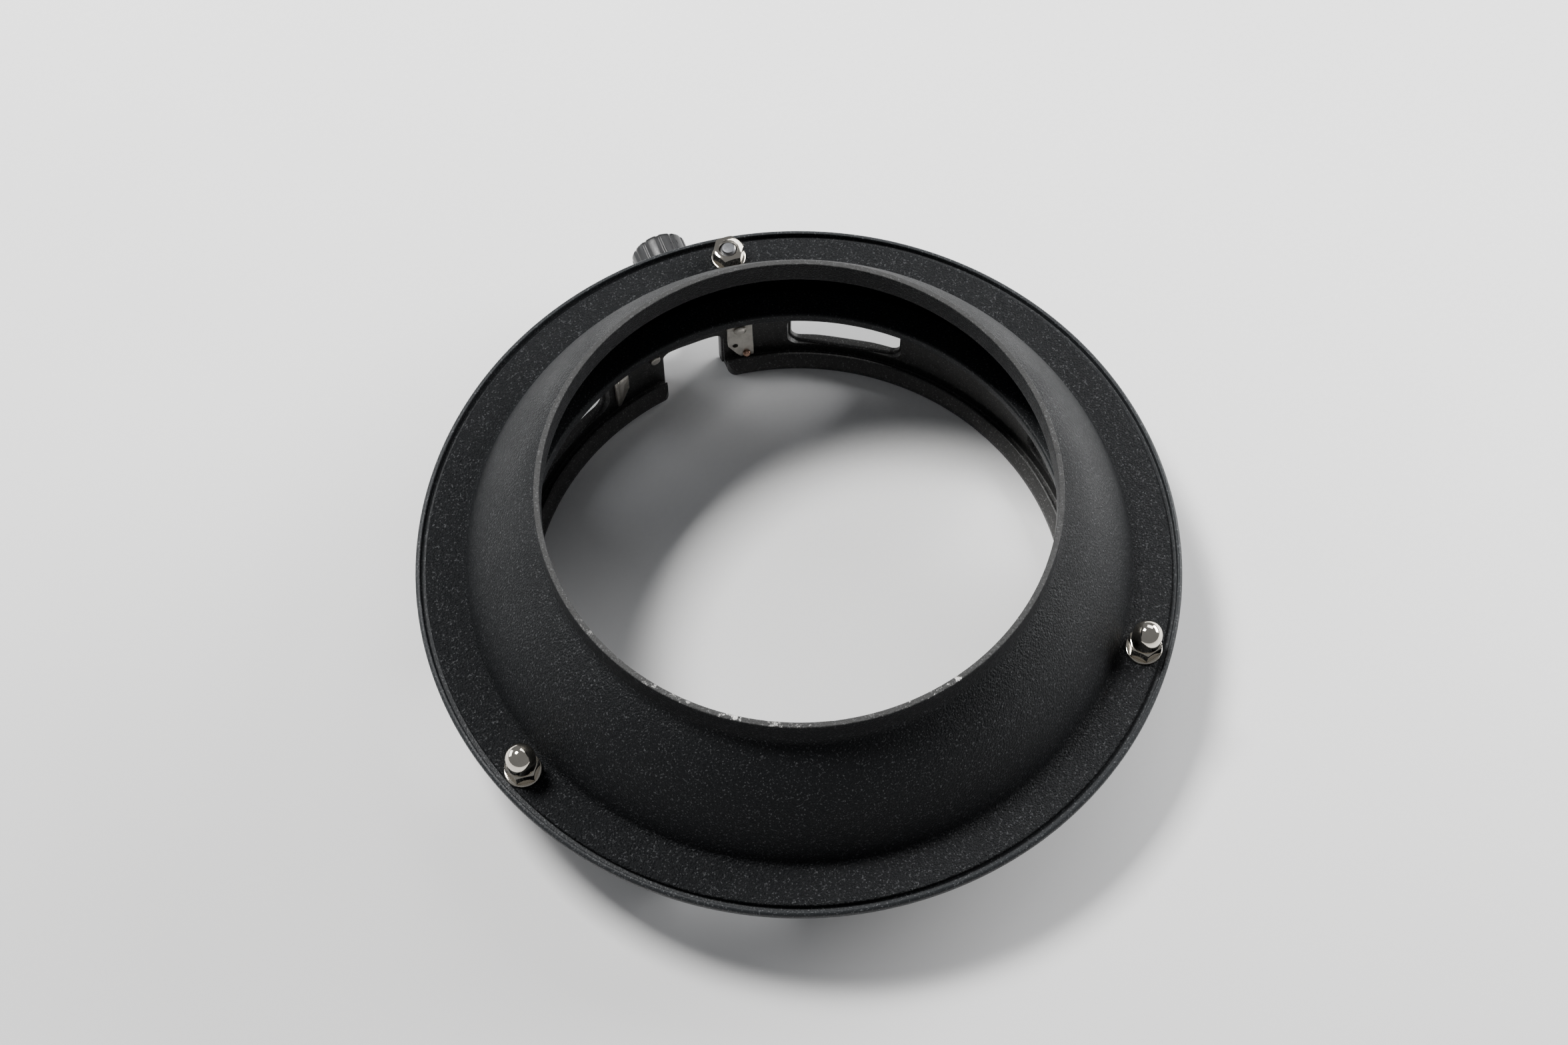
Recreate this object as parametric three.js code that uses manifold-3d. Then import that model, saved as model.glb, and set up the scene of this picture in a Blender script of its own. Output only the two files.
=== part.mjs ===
// A short snoot for a studio flash head, lying on its mount face with the mouth up.
// A spun aluminium cone is bolted into a dished backing ring by three M4 bolts. The bolts also hold
// three nickel-plated clips, which carry a cast mount ring under the backing ring and let it turn.
// A thumb screw in the backing ring presses a nylon pad on the mount ring and locks it.
// Millimetres and degrees. +Z runs along the light's axis, and +Y points at the thumb screw.
import * as THREE from "three";
import { mergeVertices } from "three/addons/utils/BufferGeometryUtils.js";
import Module from "manifold-3d";

// Clearances
const SEAT_GAP = 0.05; // between faces that are bolted together
const PIN_GAP = 0.1; // around threads, pins and pressed-in pieces
const RUN_GAP = 0.3; // between pieces that move past each other
const HOLE_GAP = 0.25; // around a bolt in its clearance hole

// Mount ring
const MOUNT_BORE_R = 64.8;
const MOUNT_H = 20.7;
const SEAT_W = 4.4; // inward flange at the mount face
const SEAT_T = 2;
const SEAT_EDGE = 1.5; // its thickness at the bore
const RIDGE_W = 2.4; // the seat slopes up from the bore to a ridge, with a groove behind it
const RIDGE_TOP_W = 0.6;
const RIDGE_H = 4.4;
const MOUNT_WALL = 2.5;
const COLLAR_W = 5.8; // outward flange that turns on the clips
const COLLAR_T = 2;
const WINDOW_W = 28;
const WINDOW_SILL = 5.9;
const WINDOW_BAND = 3.9; // wall left above the windows
const WINDOW_CORNER = 2.6;
const WINDOW_FIRST = 32.5; // angle from the notch to the nearest window on each side
const WINDOW_PITCH = 57.5;
const WINDOWS_PER_SIDE = 3;
const NOTCH_W = 15.5;
const NOTCH_CORNER = 2.5;
const LOCK_BAND = 6.7; // plain wall above the notch, where the pad presses
const NOTCH_DROP = 0.5; // the notch ends this far below that band
const MOUNT_TURN = 1; // how far the mount ring is turned from the lock screw

// Backing ring
const BACK_T = 3.5;
const LEDGE_LIP = 1.3; // the ledge reaches this far inwards past the mount's bore
const LEDGE_T = 3;
const LEDGE_RISE = 3.8; // from the plate's underside to the ledge's
const LEDGE_FOOT_W = 5; // width of the plate under the ledge's foot
const RIM_W = 1.2;
const RIM_GAP = 1.2; // groove between the cone's flange and the rim
const RIM_PROUD = 0.2;
const RIM_SIDE = 1.9;
const RIM_BEVEL = 0.5;

// Snoot cone
const SHEET = 1.3;
const MOUTH_R = 58;
const SHOULDER_RISE = 25.8; // height of the curved shoulder over the flange
const SHOULDER_BULGE = 3.1; // how far the shoulder bows out from a straight cone
const LIP_H = 7.1;
const SHOULDER_STEPS = 7;

// Fasteners: M4 button-head bolts, flat washers, cap nuts
const BOLT_COUNT = 3;
const BOLT_FIRST = -39.6; // angle of the first bolt
const THREAD_R = 2;
const HEAD_R = 3.8;
const HEAD_H = 2.2;
const SOCKET_AF = 2.5;
const SOCKET_DEPTH = 1.3;
const WASHER_R = 4.3;
const WASHER_T = 0.8;
const NUT_AF = 7;
const NUT_H = 3.5;
const NUT_TURNS = [22, 8, 2]; // how far each nut's corners are turned from the radial line
const DOME_R = 3.45;
const CAP_NUT_H = 9.8;
const DOME_WALL = 1;
const BOLT_TIP = 0.3; // the bolt stops this far above a nut's hexagon
const WASHER_OVERHANG = 0.1; // the washer reaches this far past the cone's flange
const ROOT_MARGIN = 0.8; // between the washer and the foot of the shoulder

// Retaining clips
const CLIP_T = 1.5;
const CLIP_W = 11;
const CLIP_REACH = 3.5; // how far the finger reaches under the collar

// Lock screw
const LOCK_ANGLE = 90;
const PAD_R = 2.1;
const PAD_T = 2.5;
const NECK_R = 1.2;
const NECK_L = 1.3;
const BOSS_W = 12;
const BOSS_L = 5.8;
const BOSS_DROP = 9.2;
const INSERT_R = 3.4;
const KNOB_R = 7.1;
const KNOB_L = 8.3;
const KNOB_COLLAR_R = 4.3;
const KNOB_FLUTES = 12;
const FLUTE_R = 0.95;
const KNOB_WALL = 1.6; // left over the stud's end
const KNOB_STANDOFF = 0.6; // between the boss and the knob's collar
const RIM_TO_KNOB = 0.6; // the knob's grip starts this far inside the rim's radius

// Grip springs and stops on the mount ring
const SPRING_W = 6.4;
const SPRING_T = 0.8;
const SPRING_TOP = 1.9; // below the mount ring's collar top
const SPRING_TIP = 0.6; // above the seat's ridge
const SPRING_BOW = 1.1;
const SPRING_TIP_BOW = 0.8;
const SPRING_CUT = [3.2, 5.2]; // width and height of the corner cut off a spring's foot
const RIVET_R = 1;
const RIVET_HEAD_R = 1.6;
const RIVET_HEAD_H = 0.7;
const RIVET_DROP = 4.4; // rivets' height below the mount ring's top
const STUD_R = 1;
const STUD_PROUD = 0.7;
const STUD_OFFSET = 1.4; // from the spring's centre line
const STUD_RISE = 1.6; // above the spring's foot
const SPRING_HOLE_R = 0.75;
const SPRING_HOLE_RISE = 3.5; // above the stud
const SPRING_ANGLE = -10.2; // of the first spring, from the notch
const STOP_W = 3.8;
const STOP_T = 1;
const STOP_CUT = [2.8, 5.5];
const STOP_ANGLE = 17.4; // from the notch
const PIN_ANGLE = 8.7;
const PIN_R = 1.4;
const PIN_PROUD = 0.9;

// Facets
const RING_FACETS = 72;
const HOLE_FACETS = 20;
const SMALL_FACETS = 16;

// Radii, from the bore outwards
const WALL_IN_R = MOUNT_BORE_R + SEAT_W;
const WALL_OUT_R = WALL_IN_R + MOUNT_WALL;
const RIDGE_R = MOUNT_BORE_R + RIDGE_W;
const COLLAR_R = WALL_OUT_R + COLLAR_W;
const STEP_IN_R = COLLAR_R + RUN_GAP;
const STEP_OUT_R = STEP_IN_R + CLIP_T;
const BOLT_R = STEP_OUT_R + RUN_GAP + HEAD_R;
const FLANGE_R = BOLT_R + WASHER_R - WASHER_OVERHANG;
const RIM_IN_R = FLANGE_R + RIM_GAP;
const RIM_R = RIM_IN_R + RIM_W;
const ROOT_R = BOLT_R - WASHER_R - ROOT_MARGIN;
const LEDGE_R = MOUNT_BORE_R - LEDGE_LIP;
const BACK_FOOT_R = RIM_R - BACK_T;
const LIP_R = MOUTH_R + SHEET;

// Heights, from the mount face up
const COLLAR_Z = MOUNT_H - COLLAR_T;
const BAND_Z = MOUNT_H - LOCK_BAND;
const NOTCH_TOP = BAND_Z - NOTCH_DROP;
const WINDOW_TOP = MOUNT_H - WINDOW_BAND;
const BACK_Z = MOUNT_H + RUN_GAP;
const BACK_TOP = BACK_Z + BACK_T;
const LEDGE_Z = BACK_Z + LEDGE_RISE;
const LEDGE_TOP = LEDGE_Z + LEDGE_T;
const FLANGE_Z = BACK_TOP + SEAT_GAP;
const FLANGE_TOP = FLANGE_Z + SHEET;
const LIP_Z = FLANGE_TOP + SHOULDER_RISE;
const MOUTH_Z = LIP_Z + LIP_H;
const RIM_TOP = FLANGE_TOP + RIM_PROUD;
const WASHER_Z = FLANGE_TOP + SEAT_GAP;
const NUT_Z = WASHER_Z + WASHER_T + SEAT_GAP;
const CLIP_TOP = BACK_Z - SEAT_GAP;
const FINGER_TOP = COLLAR_Z - RUN_GAP;
const HEAD_TOP = CLIP_TOP - CLIP_T - SEAT_GAP;
const RIVET_Z = MOUNT_H - RIVET_DROP;
const LOCK_Z = COLLAR_Z - RUN_GAP - Math.max(PAD_R, THREAD_R);
const STRIP_FOOT = RIDGE_H + SPRING_TIP;

// Along the lock screw, from the axis of the rings outwards
const PAD_START = WALL_OUT_R + RUN_GAP;
const BOSS_START = BACK_FOOT_R - BOSS_L;
const COLLAR_START = BACK_FOOT_R + KNOB_STANDOFF;
const GRIP_START = RIM_R - RIM_TO_KNOB;
const KNOB_END = GRIP_START + KNOB_L;

const wasm = await Module();
wasm.setup();

// Solids from three.js geometry, and back
function solid(geometry) {
  const bare = geometry.index ? geometry.toNonIndexed() : geometry.clone();
  bare.deleteAttribute("normal");
  bare.deleteAttribute("uv");
  const merged = mergeVertices(bare, 1e-4);
  const mesh = new wasm.Mesh({
    numProp: 3,
    vertProperties: merged.attributes.position.array,
    triVerts: new Uint32Array(merged.index.array),
  });
  return new wasm.Manifold(mesh);
}

function geometryOf(body) {
  const mesh = body.getMesh();
  const geometry = new THREE.BufferGeometry();
  geometry.setAttribute("position", new THREE.BufferAttribute(mesh.vertProperties, 3));
  geometry.setIndex(new THREE.BufferAttribute(mesh.triVerts, 1));
  geometry.computeVertexNormals();
  return geometry;
}

function cut(body, tools) {
  return tools.reduce((left, tool) => left.subtract(tool), body);
}

// A closed profile of [radius, height] points, turned about +Z. Profiles run anticlockwise.
function turned(profile, facets) {
  const points = profile.map(([r, z]) => new THREE.Vector2(r, z));
  if (THREE.ShapeUtils.area(points) < 0) points.reverse();
  points.push(points[0].clone());
  const geometry = new THREE.LatheGeometry(points, facets);
  geometry.rotateX(Math.PI / 2);
  return geometry;
}

function disc(radius, z0, z1, facets) {
  const geometry = new THREE.CylinderGeometry(radius, radius, z1 - z0, facets);
  geometry.rotateX(Math.PI / 2);
  geometry.translate(0, 0, (z0 + z1) / 2);
  return geometry;
}

// A hexagonal prism of a given size across flats
function hexagon(acrossFlats, z0, z1) {
  return disc(acrossFlats / 2 / Math.cos(Math.PI / 6), z0, z1, 6);
}

// Moves what is built along +Z to the radial line at an angle: local +Z points outwards,
// local +Y up, and the local origin sits on the rings' axis at the given height.
function radially(geometry, angle, height) {
  const a = THREE.MathUtils.degToRad(angle);
  const outward = new THREE.Vector3(Math.cos(a), Math.sin(a), 0);
  const up = new THREE.Vector3(0, 0, 1);
  const along = new THREE.Vector3().crossVectors(up, outward);
  const place = new THREE.Matrix4().makeBasis(along, up, outward);
  place.setPosition(0, 0, height);
  geometry.applyMatrix4(place);
  return geometry;
}

// Turns a geometry that is built at angle 0 about +Z
function atAngle(geometry, angle) {
  geometry.rotateZ(THREE.MathUtils.degToRad(angle));
  return geometry;
}

// A rounded rectangle from (-w/2, y0) to (w/2, y1)
function roundedShape(w, y0, y1, corner) {
  const h = w / 2;
  const r = Math.min(corner, h, (y1 - y0) / 2);
  const shape = new THREE.Shape();
  shape.moveTo(-h + r, y0);
  shape.lineTo(h - r, y0);
  shape.absarc(h - r, y0 + r, r, -Math.PI / 2, 0);
  shape.lineTo(h, y1 - r);
  shape.absarc(h - r, y1 - r, r, 0, Math.PI / 2);
  shape.lineTo(-h + r, y1);
  shape.absarc(-h + r, y1 - r, r, Math.PI / 2, Math.PI);
  shape.lineTo(-h, y0 + r);
  shape.absarc(-h + r, y0 + r, r, Math.PI, Math.PI * 1.5);
  return shape;
}

function extruded(shape, from, to, curveSegments = 4) {
  const options = { depth: to - from, bevelEnabled: false, curveSegments };
  const geometry = new THREE.ExtrudeGeometry(shape, options);
  geometry.translate(0, 0, from);
  return geometry;
}

// A strip of constant thickness along a polyline of [x, y] points, as a closed outline
function stripShape(path, thickness) {
  const points = path.map(([x, y]) => new THREE.Vector2(x, y));
  const side = (i) => {
    const before = points[Math.max(i - 1, 0)];
    const after = points[Math.min(i + 1, points.length - 1)];
    const d = after.clone().sub(before).normalize();
    return new THREE.Vector2(-d.y, d.x).multiplyScalar(thickness / 2);
  };
  const left = points.map((p, i) => p.clone().add(side(i)));
  const right = points.map((p, i) => p.clone().sub(side(i))).reverse();
  return new THREE.Shape([...left, ...right]);
}

const MATERIALS = {
  crackle_black: { color: 0x1b1c1e, roughness: 0.62, metalness: 0 },
  satin_black: { color: 0x16181b, roughness: 0.5, metalness: 0 },
  cast_black: { color: 0x141415, roughness: 0.6, metalness: 0 },
  nickel: { color: 0xc9c5bc, roughness: 0.16, metalness: 1 },
  dull_nickel: { color: 0xb5b1a6, roughness: 0.38, metalness: 1 },
  zinc_steel: { color: 0x8d8c8a, roughness: 0.34, metalness: 1 },
  copper: { color: 0xc98d73, roughness: 0.35, metalness: 1 },
  brass: { color: 0xb89a55, roughness: 0.35, metalness: 1 },
  black_plastic: { color: 0x121213, roughness: 0.42, metalness: 0 },
  nylon: { color: 0xd9d5c8, roughness: 0.55, metalness: 0 },
};
for (const key of Object.keys(MATERIALS)) {
  MATERIALS[key] = new THREE.MeshStandardMaterial(MATERIALS[key]);
}

const snoot = new THREE.Group();

function add(name, geometry, material) {
  const mesh = new THREE.Mesh(geometry, MATERIALS[material]);
  mesh.name = name;
  snoot.add(mesh);
}

const NOTCH_ANGLE = LOCK_ANGLE + MOUNT_TURN;
const spaced = (first) => Array.from({ length: BOLT_COUNT }, (_, i) => first + (i * 360) / BOLT_COUNT);
const boltAngles = spaced(BOLT_FIRST);
const springAngles = spaced(NOTCH_ANGLE + SPRING_ANGLE);

function boltHoles(z0, z1) {
  return boltAngles.map((angle) => {
    const hole = disc(THREAD_R + HOLE_GAP, z0, z1, HOLE_FACETS);
    hole.translate(BOLT_R, 0, 0);
    return solid(atAngle(hole, angle));
  });
}

// The cone: flat flange, bowed shoulder and a short straight lip, spun from one sheet
function snootCone() {
  const root = new THREE.Vector2(ROOT_R, FLANGE_TOP);
  const neck = new THREE.Vector2(LIP_R, LIP_Z);
  const chord = neck.clone().sub(root);
  const half = chord.length() / 2;
  const radius = (half * half + SHOULDER_BULGE * SHOULDER_BULGE) / (2 * SHOULDER_BULGE);
  const outward = new THREE.Vector2(chord.y, -chord.x).normalize();
  const middle = root.clone().add(neck).multiplyScalar(0.5);
  const centre = middle.sub(outward.multiplyScalar(radius - SHOULDER_BULGE));
  const arc = (r, from, to) =>
    Array.from({ length: SHOULDER_STEPS + 1 }, (_, i) => {
      const a = from + ((to - from) * i) / SHOULDER_STEPS;
      return [centre.x + r * Math.cos(a), centre.y + r * Math.sin(a)];
    });
  const angleOf = (p) => Math.atan2(p.y - centre.y, p.x - centre.x);
  const inner = radius - SHEET;
  const innerNeck = Math.acos((MOUTH_R - centre.x) / inner);
  const innerRoot = Math.asin((FLANGE_Z - centre.y) / inner);
  const profile = [
    [FLANGE_R, FLANGE_Z],
    [FLANGE_R, FLANGE_TOP],
    ...arc(radius, angleOf(root), angleOf(neck)),
    [LIP_R, MOUTH_Z],
    [MOUTH_R, MOUTH_Z],
    ...arc(inner, innerNeck, innerRoot),
  ];
  const body = cut(solid(turned(profile, RING_FACETS)), boltHoles(FLANGE_Z - 1, FLANGE_TOP + 1));
  add("snoot_cone", geometryOf(body), "crackle_black");
}

// The backing ring: a plate with a raised rim, an undercut edge, a stepped-up ledge that the lamp
// head stops against, and the lock screw's boss
function backingRing() {
  const foot = WALL_IN_R + LEDGE_FOOT_W;
  const profile = [
    [LEDGE_R, LEDGE_Z],
    [WALL_IN_R, LEDGE_Z],
    [WALL_IN_R, BACK_Z],
    [BACK_FOOT_R, BACK_Z],
    [RIM_R, RIM_TOP - RIM_SIDE],
    [RIM_R, RIM_TOP - RIM_BEVEL],
    [RIM_R - RIM_BEVEL, RIM_TOP],
    [RIM_IN_R, RIM_TOP],
    [RIM_IN_R, BACK_TOP],
    [foot, BACK_TOP],
    [foot - (LEDGE_TOP - BACK_TOP), LEDGE_TOP],
    [LEDGE_R, LEDGE_TOP],
  ];
  const block = roundedShape(BOSS_W, BACK_Z - BOSS_DROP, BACK_Z + BACK_T / 2, 1);
  const boss = solid(radially(extruded(block, BOSS_START, BACK_FOOT_R), LOCK_ANGLE, 0));
  const seat = disc(INSERT_R + PIN_GAP, BOSS_START - 1, BACK_FOOT_R + 1, HOLE_FACETS);
  const body = solid(turned(profile, RING_FACETS)).add(boss);
  const holes = boltHoles(BACK_Z - 1, BACK_TOP + 1);
  holes.push(solid(radially(seat, LOCK_ANGLE, LOCK_Z)));
  add("backing_ring", geometryOf(cut(body, holes)), "satin_black");
}

// The threaded bush in the boss
function screwInsert() {
  const profile = [
    [THREAD_R + PIN_GAP, BOSS_START],
    [INSERT_R, BOSS_START],
    [INSERT_R, BACK_FOOT_R],
    [THREAD_R + PIN_GAP, BACK_FOOT_R],
  ];
  add("screw_insert", radially(turned(profile, HOLE_FACETS), LOCK_ANGLE, LOCK_Z), "brass");
}

function windowAngles() {
  const steps = Array.from({ length: WINDOWS_PER_SIDE }, (_, i) => WINDOW_FIRST + i * WINDOW_PITCH);
  return [...steps, ...steps.map((step) => -step)].map((step) => NOTCH_ANGLE + step);
}

// Flush rivet holes: each has a plain bore and a countersink on the outside of the wall
function rivetHole(angle) {
  const profile = [
    [0, WALL_IN_R - 1],
    [RIVET_R + PIN_GAP, WALL_IN_R - 1],
    [RIVET_R + PIN_GAP, WALL_OUT_R - RIVET_HEAD_H],
    [RIVET_HEAD_R + PIN_GAP, WALL_OUT_R],
    [RIVET_HEAD_R + PIN_GAP, WALL_OUT_R + 1],
    [0, WALL_OUT_R + 1],
  ];
  return solid(radially(turned(profile, SMALL_FACETS), angle, RIVET_Z));
}

// The mount ring: ridged seat, wall with windows and a notch, and the collar that turns on the clips
function mountRing() {
  const profile = [
    [MOUNT_BORE_R, 0],
    [WALL_OUT_R, 0],
    [WALL_OUT_R, COLLAR_Z],
    [COLLAR_R, COLLAR_Z],
    [COLLAR_R, MOUNT_H],
    [WALL_IN_R, MOUNT_H],
    [WALL_IN_R, SEAT_T],
    [RIDGE_R, SEAT_T],
    [RIDGE_R, RIDGE_H],
    [RIDGE_R - RIDGE_TOP_W, RIDGE_H],
    [MOUNT_BORE_R, SEAT_EDGE],
  ];
  const opening = roundedShape(WINDOW_W, WINDOW_SILL, WINDOW_TOP, WINDOW_CORNER);
  const windows = windowAngles().map((angle) =>
    solid(radially(extruded(opening, MOUNT_BORE_R, COLLAR_R), angle, 0)),
  );
  const slot = roundedShape(NOTCH_W, -NOTCH_TOP, NOTCH_TOP, NOTCH_CORNER);
  const notch = solid(radially(extruded(slot, MOUNT_BORE_R / 2, COLLAR_R), NOTCH_ANGLE, 0));
  const pin = disc(PIN_R + PIN_GAP, WALL_IN_R - 1, WALL_OUT_R + 1, SMALL_FACETS);
  const pinHole = solid(radially(pin, NOTCH_ANGLE + PIN_ANGLE, BAND_Z));
  const rivets = [...springAngles, NOTCH_ANGLE + STOP_ANGLE].map(rivetHole);
  const body = cut(solid(turned(profile, RING_FACETS)), [...windows, notch, pinHole, ...rivets]);
  add("mount_ring", geometryOf(body), "cast_black");
}

// A rivet that is flush outside the wall, with a low head over a sheet on the inside
function rivet(name, angle, sheet) {
  const face = WALL_IN_R - RUN_GAP - sheet - RUN_GAP;
  const profile = [
    [0, face - RIVET_HEAD_H],
    [RIVET_HEAD_R * 0.7, face - RIVET_HEAD_H],
    [RIVET_HEAD_R, face - RIVET_HEAD_H / 2],
    [RIVET_HEAD_R, face],
    [RIVET_R, face],
    [RIVET_R, WALL_OUT_R - RIVET_HEAD_H],
    [RIVET_HEAD_R, WALL_OUT_R - SEAT_GAP],
    [0, WALL_OUT_R - SEAT_GAP],
  ];
  add(name, radially(turned(profile, SMALL_FACETS), angle, RIVET_Z), "dull_nickel");
}

// A strip on the inside of the wall, bent along a side profile of [inset, height] points
function wallStrip(path, thickness, width, angle, cuts) {
  const line = path.map(([inset, z]) => [WALL_IN_R - inset, z]);
  const strip = extruded(stripShape(line, thickness), -width / 2, width / 2);
  const upright = strip.rotateX(Math.PI / 2);
  const body = cut(solid(upright), cuts.map(solid));
  return atAngle(geometryOf(body), angle);
}

function wallHole(radius, y, z) {
  const hole = disc(radius, MOUNT_BORE_R - SEAT_W, WALL_IN_R + 1, SMALL_FACETS);
  hole.rotateY(Math.PI / 2);
  hole.translate(0, y, z);
  return hole;
}

// A wedge that takes the lower corner at (y, foot) off a strip
function cornerCut(y, [width, height]) {
  const side = Math.sign(y);
  const corners = [
    [y, STRIP_FOOT + height],
    [y - side * width, STRIP_FOOT],
    [y + side * width, STRIP_FOOT - height],
  ];
  const wedge = extruded(new THREE.Shape(corners.map(([a, b]) => new THREE.Vector2(a, b))), 0, WALL_IN_R * 2);
  return radially(wedge, 0, 0);
}

// Grip springs: leaves riveted at the top, bowed inwards, each with a small contact stud at its foot
function gripSprings() {
  const flat = RUN_GAP + SPRING_T / 2;
  const top = MOUNT_H - SPRING_TOP;
  const bowZ = STRIP_FOOT + STUD_RISE;
  const path = [
    [flat, top],
    [flat, RIVET_Z - RIVET_HEAD_R],
    [flat + SPRING_BOW, bowZ],
    [flat + SPRING_TIP_BOW, STRIP_FOOT],
  ];
  springAngles.forEach((angle, i) => {
    const cuts = [
      wallHole(RIVET_R + RUN_GAP, 0, RIVET_Z),
      wallHole(SPRING_HOLE_R, STUD_OFFSET, bowZ + SPRING_HOLE_RISE),
      wallHole(STUD_R * 0.6 + PIN_GAP, -STUD_OFFSET, bowZ),
      cornerCut(SPRING_W / 2, SPRING_CUT),
    ];
    const leaf = wallStrip(path, SPRING_T, SPRING_W, angle, cuts);
    add(`grip_spring_${i + 1}`, leaf, "dull_nickel");
    rivet(`spring_rivet_${i + 1}`, angle, SPRING_T);
    const face = WALL_IN_R - flat - SPRING_BOW - SPRING_T / 2 - PIN_GAP;
    const profile = [
      [0, face - STUD_PROUD],
      [STUD_R * 0.6, face - STUD_PROUD],
      [STUD_R, face - STUD_PROUD / 2],
      [STUD_R, face],
      [STUD_R * 0.6, face],
      [STUD_R * 0.6, face + SPRING_T + PIN_GAP],
      [0, face + SPRING_T + PIN_GAP],
    ];
    const stud = turned(profile, SMALL_FACETS);
    stud.translate(-STUD_OFFSET, 0, 0);
    add(`grip_stud_${i + 1}`, radially(stud, angle, bowZ), "copper");
  });
}

// The stop tab and the stop pin, which end the lamp's turn in the mount
function stops() {
  const inset = RUN_GAP + STOP_T / 2;
  const path = [
    [inset, MOUNT_H - SPRING_TOP],
    [inset, STRIP_FOOT],
  ];
  const cuts = [
    wallHole(RIVET_R + PIN_GAP, 0, RIVET_Z),
    cornerCut(-STOP_W / 2, STOP_CUT),
  ];
  add("stop_tab", wallStrip(path, STOP_T, STOP_W, NOTCH_ANGLE + STOP_ANGLE, cuts), "dull_nickel");
  rivet("stop_rivet", NOTCH_ANGLE + STOP_ANGLE, STOP_T);
  const pin = disc(PIN_R, WALL_IN_R - PIN_PROUD, WALL_OUT_R - SEAT_GAP, SMALL_FACETS);
  add("stop_pin", radially(pin, NOTCH_ANGLE + PIN_ANGLE, BAND_Z), "dull_nickel");
}

// Retaining clips: stepped plates that hold the mount ring's collar up to the backing ring
function retainingClips() {
  const outer = BOLT_R + HEAD_R;
  const profile = new THREE.Shape(
    [
      [STEP_OUT_R - CLIP_T - CLIP_REACH, FINGER_TOP - CLIP_T],
      [STEP_OUT_R, FINGER_TOP - CLIP_T],
      [STEP_OUT_R, CLIP_TOP - CLIP_T],
      [outer, CLIP_TOP - CLIP_T],
      [outer, CLIP_TOP],
      [STEP_IN_R, CLIP_TOP],
      [STEP_IN_R, FINGER_TOP],
      [STEP_OUT_R - CLIP_T - CLIP_REACH, FINGER_TOP],
    ].map(([r, z]) => new THREE.Vector2(r, z)),
  );
  boltAngles.forEach((angle, i) => {
    const plate = extruded(profile, -CLIP_W / 2, CLIP_W / 2);
    const hole = disc(THREAD_R + HOLE_GAP, FINGER_TOP, CLIP_TOP + 1, HOLE_FACETS);
    hole.translate(BOLT_R, 0, 0);
    const body = cut(solid(plate.rotateX(Math.PI / 2)), [solid(hole)]);
    add(`retaining_clip_${i + 1}`, atAngle(geometryOf(body), angle), "nickel");
  });
}

function atBolt(geometry, angle) {
  geometry.translate(BOLT_R, 0, 0);
  return atAngle(geometry, angle);
}

// Button-head bolts, head down, with a hexagon socket
function clipBolts() {
  const tip = NUT_Z + NUT_H + BOLT_TIP;
  const profile = [
    [0, HEAD_TOP - HEAD_H],
    [HEAD_R * 0.6, HEAD_TOP - HEAD_H],
    [HEAD_R * 0.88, HEAD_TOP - HEAD_H * 0.65],
    [HEAD_R, HEAD_TOP - HEAD_H * 0.15],
    [HEAD_R, HEAD_TOP],
    [THREAD_R, HEAD_TOP],
    [THREAD_R, tip - THREAD_R / 4],
    [THREAD_R * 0.75, tip],
    [0, tip],
  ];
  boltAngles.forEach((angle, i) => {
    const socket = hexagon(SOCKET_AF, HEAD_TOP - HEAD_H - 1, HEAD_TOP - HEAD_H + SOCKET_DEPTH);
    const body = cut(solid(turned(profile, HOLE_FACETS)), [solid(socket)]);
    add(`clip_bolt_${i + 1}`, atBolt(geometryOf(body), angle), "zinc_steel");
  });
}

function washers() {
  const profile = [
    [THREAD_R + HOLE_GAP, WASHER_Z],
    [WASHER_R, WASHER_Z],
    [WASHER_R, WASHER_Z + WASHER_T],
    [THREAD_R + HOLE_GAP, WASHER_Z + WASHER_T],
  ];
  boltAngles.forEach((angle, i) => {
    add(`flat_washer_${i + 1}`, atBolt(turned(profile, HOLE_FACETS), angle), "nickel");
  });
}

// The nut's hexagon with its corners turned off, and the thread's bore to a given height
function nutHexagon(boreTop) {
  const corner = NUT_AF / 2 / Math.cos(Math.PI / 6);
  const chamfer = corner - NUT_AF / 2;
  const turnedOff = solid(
    turned(
      [
        [0, NUT_Z],
        [corner - chamfer / 2, NUT_Z],
        [corner, NUT_Z + chamfer / 3],
        [corner, NUT_Z + NUT_H - chamfer / 3],
        [corner - chamfer / 2, NUT_Z + NUT_H],
        [0, NUT_Z + NUT_H],
      ],
      2 * HOLE_FACETS,
    ),
  );
  const bore = solid(disc(THREAD_R + PIN_GAP, NUT_Z - 1, boreTop, HOLE_FACETS));
  return { body: solid(hexagon(NUT_AF, NUT_Z, NUT_Z + NUT_H)).intersect(turnedOff), bore };
}

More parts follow.
